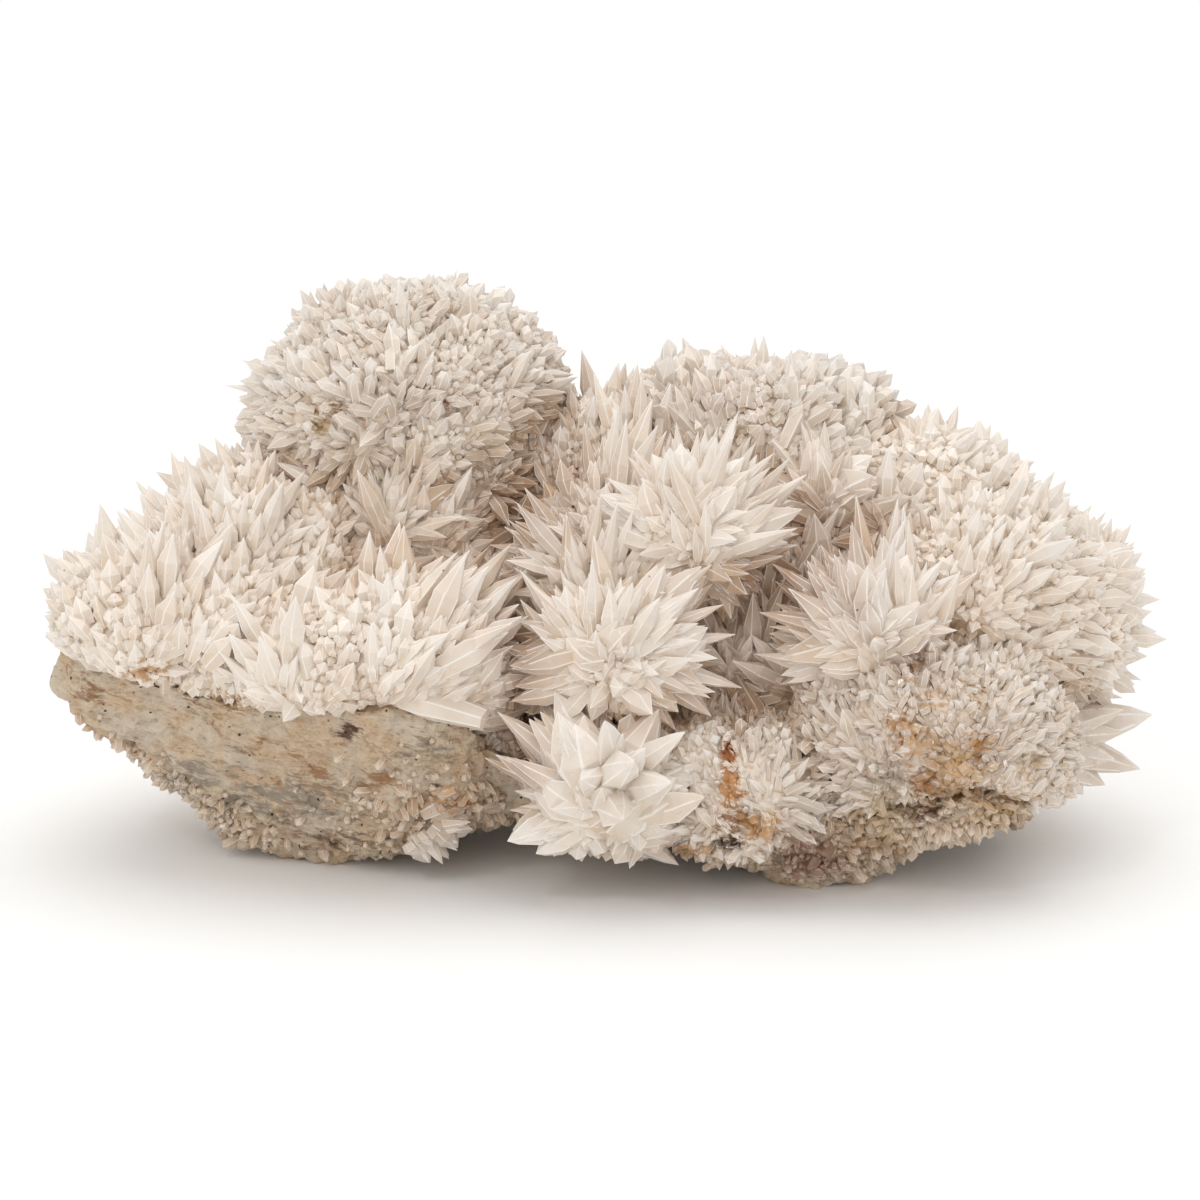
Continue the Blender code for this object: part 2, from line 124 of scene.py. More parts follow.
studio = dict(
    floor="#F7F7F6",
    world=0.86,         # the soft light from all round; the camera itself sees white
    overhead=dict(kind="SUN", place=(0.05, 0.15, 1.0), size=0.9, power=0.8),
    front=dict(kind="AREA", place=(-0.3, -1.2, 0.7), size=1.0, power=1.5),
    glint=dict(kind="AREA", place=(-0.45, -0.7, 0.9), size=0.12, power=0.8),
    aim=(0, 0, 0.05),   # what the lamps point at
    lens=75,
    away=0.5867,
    look=(-0.001, 0, 0.0585),
    above=12,           # the camera looks down by this many degrees
    bounces=5,          # pale crystals pass the light on many times
)


def frontView(places):
    # how far right of and above the middle of the front view each place shows, in millimetres
    tilt = math.radians(studio["above"])
    seen = places - np.array(studio["look"])
    depth = studio["away"] + seen[:, 1] * math.cos(tilt) - seen[:, 2] * math.sin(tilt)
    up = seen[:, 1] * math.sin(tilt) + seen[:, 2] * math.cos(tilt)
    return seen[:, 0] / depth * studio["away"] / mm, up / depth * studio["away"] / mm


def evenWays(count):
    # directions spread evenly over a ball
    ways = []
    for k in range(count):
        z = 1 - (2 * k + 1) / count
        turn = k * math.radians(137.5)
        r = math.sqrt(1 - z * z)
        ways.append(Vector((r * math.cos(turn), r * math.sin(turn), z)))
    return ways


def randomVector(rng, reach):
    return Vector((rng.uniform(-reach, reach) for _ in range(3)))


# the mass that the crystals grow on: lobes as centre, radii, and what grows there as length, width and habit
# (spears are dogtooth crystals, blocks are short glassy ones, and sugar is a druse of fine grains)

lobes = {
    "core": ((0, 14, 42), (96, 38, 36), 8, 3.2, "spears"),
    "base": ((22, 2, 22), (66, 38, 17), 6, 2.8, "spears"),
    "dome": ((-46, 22, 98), (37, 34, 31), 4.5, 3.0, "blocks"),
    "domeNeck": ((-44, 20, 68), (38, 34, 34), 8, 2.8, "spears"),
    "leftShoulder": ((-76, 4, 68), (29, 28, 22), 5, 3.0, "spears"),
    "leftSlab": ((-86, -4, 53), (40, 36, 21), 5.5, 3.4, "spears"),
    "leftEdge": ((-104, -4, 46), (24, 26, 22), 4.5, 2.8, "blocks"),
    "frontLeft": ((-50, -28, 47), (32, 20, 20), 7, 3.6, "spears"),
    "leftCrust": ((-70, -8, 26), (54, 36, 28), 4, 2.2, "sugar"),
    "crustCorner": ((-40, -20, 29), (26, 20, 20), 4, 2.2, "sugar"),
    "centreColumn": ((0, -14, 58), (18, 18, 32), 9, 3.4, "spears"),
    "centreSpray": ((2, -34, 52), (13, 12, 13), 9, 3.6, "spears"),
    "lowerSpray": ((2, -39, 23), (20, 14, 14), 4, 4.0, "blocks"),
    "lowerMiddle": ((28, -34, 24), (22, 20, 16), 5, 2.0, "sugar"),
    "flower": ((20, -20, 77), (16, 13, 13), 9, 3.6, "spears"),
    "saddle": ((0, 18, 79), (32, 24, 22), 7, 2.8, "spears"),
    "mound": ((38, 22, 92), (33, 26, 19), 5, 3.8, "blocks"),
    "rightShoulder": ((73, 12, 79), (26, 24, 18), 5, 3.2, "spears"),
    "rightLobe": ((86, -2, 60), (32, 30, 24), 5, 3.0, "spears"),
    "rightEnd": ((105, 0, 53), (17, 24, 17), 6, 3.2, "spears"),
    "rightLow": ((93, -6, 30), (16, 18, 15), 4, 3.2, "spears"),
    "fan": ((60, -30, 54), (15, 13, 15), 9, 3.4, "spears"),
    "hollowFloor": ((40, -6, 62), (24, 15, 16), 7, 3.2, "spears"),
    "hollowLow": ((34, -12, 42), (18, 15, 18), 7, 3.2, "spears"),
    "lowerRight": ((72, -32, 33), (32, 23, 23), 4, 2.0, "sugar"),
    "backLeft": ((-52, 36, 48), (42, 28, 34), 8, 3.4, "spears"),
    "backRight": ((34, 38, 50), (42, 27, 36), 8, 3.4, "spears"),
    "backEnd": ((82, 28, 46), (30, 28, 30), 8, 3.4, "spears"),
}

# broken faces that cut the left lobes: a point on the face, and the way it looks
leftLobes = ("leftShoulder", "leftSlab", "leftEdge", "frontLeft", "leftCrust", "crustCorner")
breaks = (
    ((-58, -43, 41), (-0.28, -0.88, -0.38)),
    ((-105, -14, 20), (-0.67, -0.12, -0.73)),
)

# the sheet that the crystals grew from: level, then bumps as centre, rise and spread
sheet = dict(level=16, bumps=(
    (-126, -14, 35, 46), (-50, -50, 21, 26), (-30, -46, 10, 12), (2, -62, -20, 18), (80, -48, 12, 18),
    (52, -12, 7, 26), (112, -8, -16, 20), (-20, 66, 10, 26), (112, 40, 8, 26),
))

# which way crystals lean besides outwards, where it isn't just up
leans = {
    "leftSlab": (0.5, 0.0, 0.9),
    "leftEdge": (-0.3, 0.0, 0.8),
    "frontLeft": (0.9, 0.0, 0.8),
    "leftShoulder": (0.2, 0.0, 0.9),
    "dome": (0.0, 0.0, 0.0),
    "domeNeck": (0.3, 0.0, -0.1),
    "rightLobe": (0.5, 0.0, 0.5),
    "rightEnd": (0.7, 0.0, 0.3),
    "rightLow": (0.8, 0.0, 0.0),
    "backLeft": (0.0, 0.0, 0.3),
    "backRight": (0.0, 0.0, 0.3),
    "backEnd": (0.3, 0.0, 0.2),
}
uprightLean = (0.0, 0.0, 0.55)

skinLook = dict(
    voxel=2.2,          # skin facets
    inset=1.0,          # the skin lies this far inside the lobes' outline
    lumps=((26, 3.0), (11, 1.6)),   # length and height of the skin's lumps
    rosetteGap=15,      # small crystals stand in rosettes about this far apart
    rosetteDepth=9,     # and fan out from a point this far below the skin
    rosetteLean=0.45,   # each rosette leans its own way
    rosetteVigour=(0.55, 1.5),      # and grows shorter or longer than the others
    swell=2.6,          # each rosette bulges this much
    underCrust=6,       # below the sheet the skin is drawn in this far, under the crust
    underCrustOver=3,   # over this much depth
    ways=(1.1, 0.3, 0.3, 0.8),      # what a crystal's way owes to its rosette, the skin, the lobe and lean
    forward=0.15,       # crystals grow less towards the front than to the sides, so they lie like shingles
    spare=1.35,         # near the outermost places, crystals reach as far as the room there divided by this
    shortest=2,         # where they would be shorter than this, none grow
)

cavityLook = dict(
    rays=36,            # ways in which each place looks for other crystals
    lift=3.0,           # the rays start this far above the ground
    reach=45,           # and go this far
    grazing=0.15,       # flatter rays than this, as a cosine, don't count
    fromShare=0.05,     # the painted shade in cavities starts from this much closed off
    toShare=0.6,        # up to this much
)


def sheetHeight(places):
    z = np.full(len(places), float(sheet["level"]))
    for cx, cy, rise, spread in sheet["bumps"]:
        away = (places[:, 0] / mm - cx) ** 2 + (places[:, 1] / mm - cy) ** 2
        z += rise * np.exp(-away / (2 * spread ** 2))
    return z * mm


def lobeShares(places):
    # how much each lobe has to say at each place, from how deep the place lies in it
    depths = []
    for centre, radii, *_ in lobes.values():
        scaled = (places / mm - np.array(centre)) / np.array(radii)
        depths.append(np.linalg.norm(scaled, axis=1))
    shares = np.exp(-14 * (np.array(depths) - np.min(depths, axis=0)))
    return shares / shares.sum(axis=0)


def buildSkin():
    bm = bmesh.new()
    for name, (centre, radii, *_) in lobes.items():
        ball = bmesh.new()
        bmesh.ops.create_icosphere(ball, subdivisions=4, radius=1)
        for v in ball.verts:
            v.co = Vector((c + (r - skinLook["inset"]) * u for c, r, u in zip(centre, radii, v.co))) * mm
        if name in leftLobes:
            for point, normal in breaks:
                face = (Vector(point) - Vector(normal).normalized() * skinLook["inset"]) * mm
                cut = bmesh.ops.bisect_plane(
                    ball, geom=ball.verts[:] + ball.edges[:] + ball.faces[:],
                    plane_co=face, plane_no=normal, clear_outer=True)
                edges = [e for e in cut["geom_cut"] if isinstance(e, bmesh.types.BMEdge)]
                if edges:
                    bmesh.ops.contextual_create(ball, geom=edges)
        mesh = bpy.data.meshes.new(name)
        ball.to_mesh(mesh)
        ball.free()
        bm.from_mesh(mesh)
        bpy.data.meshes.remove(mesh)
    mesh = bpy.data.meshes.new("growthSkin")
    bm.to_mesh(mesh)
    bm.free()
    obj = addObject("growthSkin", mesh)
    remesh = obj.modifiers.new("skin", "REMESH")
    remesh.mode = "VOXEL"
    remesh.voxel_size = skinLook["voxel"] * mm
    ease = obj.modifiers.new("ease", "SMOOTH")
    ease.factor = 0.5
    ease.iterations = 3
    return asMesh(obj, "growthSkin")


def markSkin(skin):
    # where the crystals grow, which way, how long and how wide
    rng = random.Random(4)
    mesh = skin.data
    places = placesOf(mesh).astype(float)
    normals = np.array([v.normal for v in mesh.vertices])
    shares = lobeShares(places)
    looks = list(lobes.items())
    centres = np.array([look[0] for _, look in looks]) * mm
    length = shares.T @ np.array([look[2] for _, look in looks])
    width = shares.T @ np.array([look[3] for _, look in looks])
    lean = shares.T @ np.array([leans.get(name, uprightLean) for name, _ in looks])
    outward = places[None] - centres[:, None]
    outward /= np.linalg.norm(outward, axis=2, keepdims=True)
    outward = np.einsum("ij,ijk->jk", shares, outward)

    # rosette hearts, no two closer than the gap
    order = list(range(len(places)))
    rng.shuffle(order)
    hearts = []
    nearest = np.full(len(places), 1.0)
    for i in order:
        if nearest[i] > skinLook["rosetteGap"] * mm * rng.uniform(0.7, 1.2):
            hearts.append(i)
            nearest = np.minimum(nearest, np.linalg.norm(places - places[i], axis=1))
    tree = KDTree(len(hearts))
    for k, i in enumerate(hearts):
        tree.insert(places[i], k)
    tree.balance()
    growth = np.empty_like(places)
    bulge = np.empty(len(places))
    vigour = np.empty(len(places))
    ownWay = [randomVector(rng, skinLook["rosetteLean"]) for _ in hearts]
    ownVigour = [rng.uniform(*skinLook["rosetteVigour"]) for _ in hearts]
    for i, place in enumerate(places):
        _, k, away = tree.find(place)
        heart = hearts[k]
        root = places[heart] - normals[heart] * skinLook["rosetteDepth"] * mm
        fan = place - root
        growth[i] = fan / max(1e-6, np.linalg.norm(fan)) + ownWay[k]
        vigour[i] = ownVigour[k]
        bulge[i] = 1 - (away / (0.6 * skinLook["rosetteGap"] * mm)) ** 2
        for size, height in skinLook["lumps"]:
            bulge[i] += height / skinLook["swell"] * noise.noise(Vector(place) / (size * mm))
    above = (places[:, 2] - sheetHeight(places)) / mm
    under = np.clip((0.5 - above) / skinLook["underCrustOver"], 0, 1)
    bulge = np.clip(bulge, -2, 2) * skinLook["swell"] - skinLook["underCrust"] * under
    places += normals * (bulge * mm)[:, None]
    mesh.vertices.foreach_set("co", places.astype(np.float32).ravel())
    rosetteShare, skinShare, lobeShare, leanShare = skinLook["ways"]
    growth = rosetteShare * growth + skinShare * normals + lobeShare * outward + leanShare * lean
    growth[:, 1] *= np.where(growth[:, 1] < 0, skinLook["forward"], 1)
    growth /= np.linalg.norm(growth, axis=1, keepdims=True)

    # crystals are shorter near the outermost places, and thin out just below the sheet
    room = np.full(len(places), 1.0)
    limits = (outermost["halfWidth"], outermost["halfDepth"])
    for axis, half in enumerate(limits):
        ahead = np.where(growth[:, axis] > 0, half * mm - places[:, axis], half * mm + places[:, axis])
        room = np.minimum(room, ahead / np.maximum(1e-6, np.abs(growth[:, axis])))
    up = np.maximum(1e-6, growth[:, 2])
    room = np.minimum(room, np.where(growth[:, 2] > 0, (outermost["height"] * mm - places[:, 2]) / up, 1))
    down = np.maximum(1e-6, -growth[:, 2])
    room = np.minimum(room, np.where(growth[:, 2] < 0, (places[:, 2] - outermost["floor"] * mm) / down, 1))
    above = (places[:, 2] - sheetHeight(places)) / mm
    reach = np.minimum((length + skinLook["inset"]) * vigour * mm, room / skinLook["spare"])
    crowd = np.clip(above / 2 + 1.4, 0, 1) * (reach > skinLook["shortest"] * mm)
    for habit in habits:
        share = shares.T @ np.array([float(look[4] == habit) for _, look in looks])
        grown = np.clip(1.6 * share - 0.3 + 0.5 * habits[habit]["anywhere"], 0, 1)
        setAttribute(mesh, habit, "FLOAT", crowd * grown)
    setAttribute(mesh, "growth", "FLOAT_VECTOR", growth)
    setAttribute(mesh, "reach", "FLOAT", reach)
    setAttribute(mesh, "girth", "FLOAT", width * mm)
    print("skin marked:", len(places), "points,", len(hearts), "rosettes")


def markCavities(ground):
    # how much of the sky over each place is closed off, from 0 to 1, which paints shade into the calcite's
    # colour
    ways = evenWays(cavityLook["rays"])
    tree = treeOf(ground.data)
    closed = []
    for v in ground.data.vertices:
        start = v.co + v.normal * cavityLook["lift"] * mm
        seen = hits = 0
        for way in ways:
            share = way.dot(v.normal)
            if share > cavityLook["grazing"]:
                seen += share
                if tree.ray_cast(start, way, cavityLook["reach"] * mm)[0] is not None:
                    hits += share
        closed.append(hits / seen)
    setAttribute(ground.data, "cavity", "FLOAT", closed)
    print("cavities:", round(sum(closed) / len(closed), 2), "closed on average")


# crystal forms: rings of height and width up to a tip at 1, grown along +Z and cut off below the root; proud
# widens every second corner, and steps raises it on the last ring, for calcite's blunt end of three faces

crystalForms = {
    "block": dict(rings=((-0.2, 1.0), (0.62, 1.05)), proud=0.0, steps=0.14),
    "dogtooth": dict(rings=((-0.2, 0.85), (0.42, 1.0)), proud=0.12, steps=0.0),
    "spear": dict(rings=((-0.2, 0.75), (0.5, 1.0)), proud=0.16, steps=0.0),
}
smallSquash = 0.85       # a small crystal's thickness as a share of its width
longForm = dict(rings=((0.0, 0.8), (0.5, 1.0), (0.84, 0.45)), proud=0.12, steps=0.0)
brokenForm = dict(rings=((0.0, 0.9), (0.4, 1.0), (1.0, 0.62)), proud=0.1, steps=0.0)   # snapped off flat

# what grows where: how much of it there is on the other habits' lobes, and its forms
habits = {
    "spears": dict(anywhere=0.15, forms=("dogtooth", "spear")),
    "blocks": dict(anywhere=0.1, forms=("block", "dogtooth")),
    "sugar": dict(anywhere=0.0, forms=("block", "dogtooth")),
}

# crystals of several sizes share the ground: the gap between roots, how unruly they stand, and the shortest
# and longest, slimmest and stoutest of them as shares of what the lobe asks for
grades = {
    "bigSpears": dict(habit="spears", gap=4.0, unruly=0.3, long=(0.7, 1.6), wide=(0.85, 1.6)),
    "smallSpears": dict(habit="spears", gap=1.75, unruly=0.35, long=(0.3, 0.7), wide=(0.8, 1.3)),
    "bigBlocks": dict(habit="blocks", gap=3.1, unruly=0.6, long=(0.6, 1.15), wide=(0.8, 1.4)),
    "smallBlocks": dict(habit="blocks", gap=1.4, unruly=0.7, long=(0.3, 0.65), wide=(0.5, 1.0)),
    "sugar": dict(habit="sugar", gap=1.15, unruly=0.8, long=(0.3, 0.9), wide=(0.5, 1.4)),
    "grains": dict(habit="sugar", gap=1.3, unruly=0.7, long=(0.35, 1.0), wide=(0.6, 1.3)),
}


def crystalCorners(form, turn, squash):
    # six corners a ring, with every second one standing proud as calcite's do, and the tip
    corners = []
    for ring, (z, r) in enumerate(form["rings"]):
        step = form["steps"] if ring == len(form["rings"]) - 1 else 0
        for k in range(6):
            angle = turn + k * math.pi / 3
            side = 1 if k % 2 else -1
            wide = r / 2 * (1 + side * form["proud"])
            corners.append((math.cos(angle) * wide, math.sin(angle) * wide * squash, z + side * step))
    return corners + [(0, 0, 1)]


def crystalFaces(form, corners):
    # sides between the rings, faces to the tip and the cap at the root, with a UV for each face corner:
    # across the facet from ridge to ridge, and along the crystal
    rings = len(form["rings"])
    faces, uvs = [], []
    height = [min(1, max(0, corner[2])) for corner in corners]
    for ring in range(rings - 1):
        for k in range(6):
            a, b = ring * 6 + k, ring * 6 + (k + 1) % 6
            faces.append((a, b, b + 6, a + 6))
            uvs += [(0, height[a]), (1, height[b]), (1, height[b + 6]), (0, height[a + 6])]
    for k in range(6):
        a, b = (rings - 1) * 6 + k, (rings - 1) * 6 + (k + 1) % 6
        faces.append((a, b, rings * 6))
        uvs += [(0, height[a]), (1, height[b]), (0, 1)]
    faces.append((5, 4, 3, 2, 1, 0))
    uvs += [(0.5, 0)] * 6
    return faces, uvs


def buildForms(habit):
    collection = bpy.data.collections.new(habit)
    bpy.context.scene.collection.children.link(collection)
    for name in habits[habit]["forms"]:
        corners = crystalCorners(crystalForms[name], 0, smallSquash)
        faces, uvs = crystalFaces(crystalForms[name], corners)
        mesh = bpy.data.meshes.new(name)
        mesh.from_pydata(corners, [], faces)
        mesh.uv_layers.new(name="facet").data.foreach_set("uv", np.array(uvs, np.float32).ravel())
        collection.objects.link(bpy.data.objects.new(name, mesh))
    return collection


def druseTree():
    # small crystals over a skin that says which way they grow, how long and how wide they are
    tree = bpy.data.node_groups.new("crystalDruse", "GeometryNodeTree")
    face = tree.interface
    face.new_socket("Skin", in_out="INPUT", socket_type="NodeSocketGeometry")
    for name in ("Gap", "Unruly", "Shortest", "Longest", "Slimmest", "Stoutest"):
        face.new_socket(name, in_out="INPUT", socket_type="NodeSocketFloat")
    for name, kind in (("Seed", "Int"), ("Forms", "Collection"), ("Finish", "Material")):
        face.new_socket(name, in_out="INPUT", socket_type="NodeSocket" + kind)
    face.new_socket("Crystals", in_out="OUTPUT", socket_type="NodeSocketGeometry")
    given = addNode(tree, "NodeGroupInput").outputs

    # what the skin says
    said = {}
    for name, kind in (
            ("crowd", "FLOAT"), ("growth", "FLOAT_VECTOR"), ("reach", "FLOAT"), ("girth", "FLOAT")):
        node = addNode(tree, "GeometryNodeInputNamedAttribute", {"Name": name}, data_type=kind)
        said[name] = node.outputs["Attribute"]

    # what chance gives each crystal: least, most and seed; sockets 2 and 3 are the range of a plain number
    unruly = given["Unruly"]
    less = addNode(tree, "ShaderNodeMath", {0: 0.0, 1: unruly}, operation="SUBTRACT").outputs[0]
    chance = {}
    for name, least, most, seed in (
            ("strayX", less, unruly, 11), ("strayY", less, unruly, 12), ("strayZ", less, unruly, 13),
            ("turn", 0.0, 6.2832, 5), ("luck", 0.0, 1.0, 7), ("plump", 0.8, 1.2, 8), ("tone", 0.0, 1.0, 21)):
        node = addNode(tree, "FunctionNodeRandomValue", {2: least, 3: most, "Seed": seed}, data_type="FLOAT")
        chance[name] = node.outputs[1]
    pick = addNode(tree, "FunctionNodeRandomValue", {4: 0, 5: 1, "Seed": 9}, data_type="INT").outputs[2]

    # where crystals stand, at most this many on a square metre, and which way they grow
    dots = addNode(tree, "GeometryNodeDistributePointsOnFaces", {
        "Mesh": given["Skin"], "Distance Min": given["Gap"], "Density Max": 600000.0,
        "Density Factor": said["crowd"], "Seed": given["Seed"]}, distribute_method="POISSON")
    stray = addNode(tree, "ShaderNodeCombineXYZ", {
        0: chance["strayX"], 1: chance["strayY"], 2: chance["strayZ"]}).outputs[0]
    way = addNode(tree, "ShaderNodeVectorMath", {0: said["growth"], 1: stray}, operation="ADD").outputs[0]
    stood = addNode(tree, "FunctionNodeAlignRotationToVector", {"Vector": way}, axis="Z").outputs[0]
    spin = addNode(tree, "FunctionNodeAxisAngleToRotation", {
        "Axis": (0, 0, 1), "Angle": chance["turn"]}).outputs[0]
    turned = addNode(tree, "FunctionNodeRotateRotation", {
        "Rotation": stood, "Rotate By": spin}, rotation_space="LOCAL").outputs[0]

    # how big they are: few have the luck to grow long, and those are stout as well
    luck = addNode(tree, "ShaderNodeMath", {0: chance["luck"], 1: 1.7}, operation="POWER").outputs[0]
    share = addNode(tree, "ShaderNodeMapRange", {
        "Value": luck, "To Min": given["Shortest"], "To Max": given["Longest"]}).outputs[0]
    long = addNode(tree, "ShaderNodeMath", {0: said["reach"], 1: share}, operation="MULTIPLY").outputs[0]
    stout = addNode(tree, "ShaderNodeMapRange", {
        "Value": luck, "To Min": given["Slimmest"], "To Max": given["Stoutest"]}).outputs[0]
    plump = addNode(tree, "ShaderNodeMath", {
        0: said["girth"], 1: chance["plump"]}, operation="MULTIPLY").outputs[0]
    wide = addNode(tree, "ShaderNodeMath", {0: plump, 1: stout}, operation="MULTIPLY").outputs[0]
    size = addNode(tree, "ShaderNodeCombineXYZ", {0: wide, 1: wide, 2: long}).outputs[0]

    forms = addNode(tree, "GeometryNodeCollectionInfo", {
        "Collection": given["Forms"], "Separate Children": True, "Reset Children": True}).outputs[0]
    stand = addNode(tree, "GeometryNodeInstanceOnPoints", {
        "Points": dots.outputs["Points"], "Instance": forms, "Pick Instance": True,
        "Instance Index": pick, "Rotation": turned, "Scale": size}).outputs[0]
    tone = addNode(tree, "GeometryNodeStoreNamedAttribute", {
        "Geometry": stand, "Name": "tone", "Value": chance["tone"]},
        data_type="FLOAT", domain="INSTANCE").outputs[0]
    straight = addNode(tree, "ShaderNodeVectorMath", {0: way}, operation="NORMALIZE").outputs[0]
    axis = addNode(tree, "GeometryNodeStoreNamedAttribute", {
        "Geometry": tone, "Name": "axis", "Value": straight},
        data_type="FLOAT_VECTOR", domain="INSTANCE").outputs[0]
    real = addNode(tree, "GeometryNodeRealizeInstances", {"Geometry": axis}).outputs[0]
    done = addNode(tree, "GeometryNodeSetMaterial", {
        "Geometry": real, "Material": given["Finish"]}).outputs[0]
    addNode(tree, "NodeGroupOutput", {0: done})
    return tree


def growDruse(name, ground, tree, forms, finish, look):
    # a copy of part of the ground, covered with crystals and turned into a plain mesh
    grade = grades[look["grade"]]
    mesh = ground.data.copy()
    bm = bmesh.new()
    bm.from_mesh(mesh)
    low, high = look["x"][0] * mm, look["x"][1] * mm
    front, back = look["y"][0] * mm, look["y"][1] * mm
    out = []
    for face in bm.faces:
        middle = face.calc_center_median()
        if not (low <= middle.x < high and front <= middle.y < back):
            out.append(face)
    bmesh.ops.delete(bm, geom=out, context="FACES")
    bm.to_mesh(mesh)
    bm.free()
    crowd = np.empty(len(mesh.vertices), np.float32)
    mesh.attributes[grade["habit"]].data.foreach_get("value", crowd)
    setAttribute(mesh, "crowd", "FLOAT", crowd)
    obj = addObject(name, mesh)
    grow = obj.modifiers.new("grow", "NODES")
    grow.node_group = tree
    shortest, longest = grade["long"]
    slimmest, stoutest = grade["wide"]
    values = dict(Gap=grade["gap"] * mm, Unruly=grade["unruly"], Shortest=shortest, Longest=longest,
                  Slimmest=slimmest, Stoutest=stoutest, Seed=look["seed"],
                  Forms=forms[grade["habit"]], Finish=finish)
    for item in tree.interface.items_tree:
        if item.in_out == "INPUT" and item.name in values:
            grow[item.identifier] = values[item.name]
    obj = asMesh(obj, name)
    for left in ("growth", "reach", "girth", "crowd", *habits):
        layer = obj.data.attributes.get(left)
        if layer:
            obj.data.attributes.remove(layer)
    print(name, len(obj.data.polygons), "faces")
    return obj


# each druse: its grade, the part of the ground that it covers from left to right and from front to back,
# and its seed
whole = (-200, 200)
atFront, atBack = (-200, 20), (20, 200)
druseLooks = {
    "bigSpearsFront": dict(grade="bigSpears", x=whole, y=atFront, seed=1),
    "bigSpearsBack": dict(grade="bigSpears", x=whole, y=atBack, seed=2),
    "smallSpearsLeft": dict(grade="smallSpears", x=(-200, -30), y=atFront, seed=3),
    "smallSpearsRight": dict(grade="smallSpears", x=(-30, 200), y=atFront, seed=4),
    "smallSpearsBack": dict(grade="smallSpears", x=whole, y=atBack, seed=5),
    "bigBlocks": dict(grade="bigBlocks", x=whole, y=whole, seed=6),
    "smallBlocks": dict(grade="smallBlocks", x=whole, y=whole, seed=7),
    "sugarDruse": dict(grade="sugar", x=whole, y=whole, seed=8),
}


# long crystals: each spray's centre, how full it is, then its crystals as turn from the right in the front
# view, lean to the front, reach and width, in degrees and millimetres

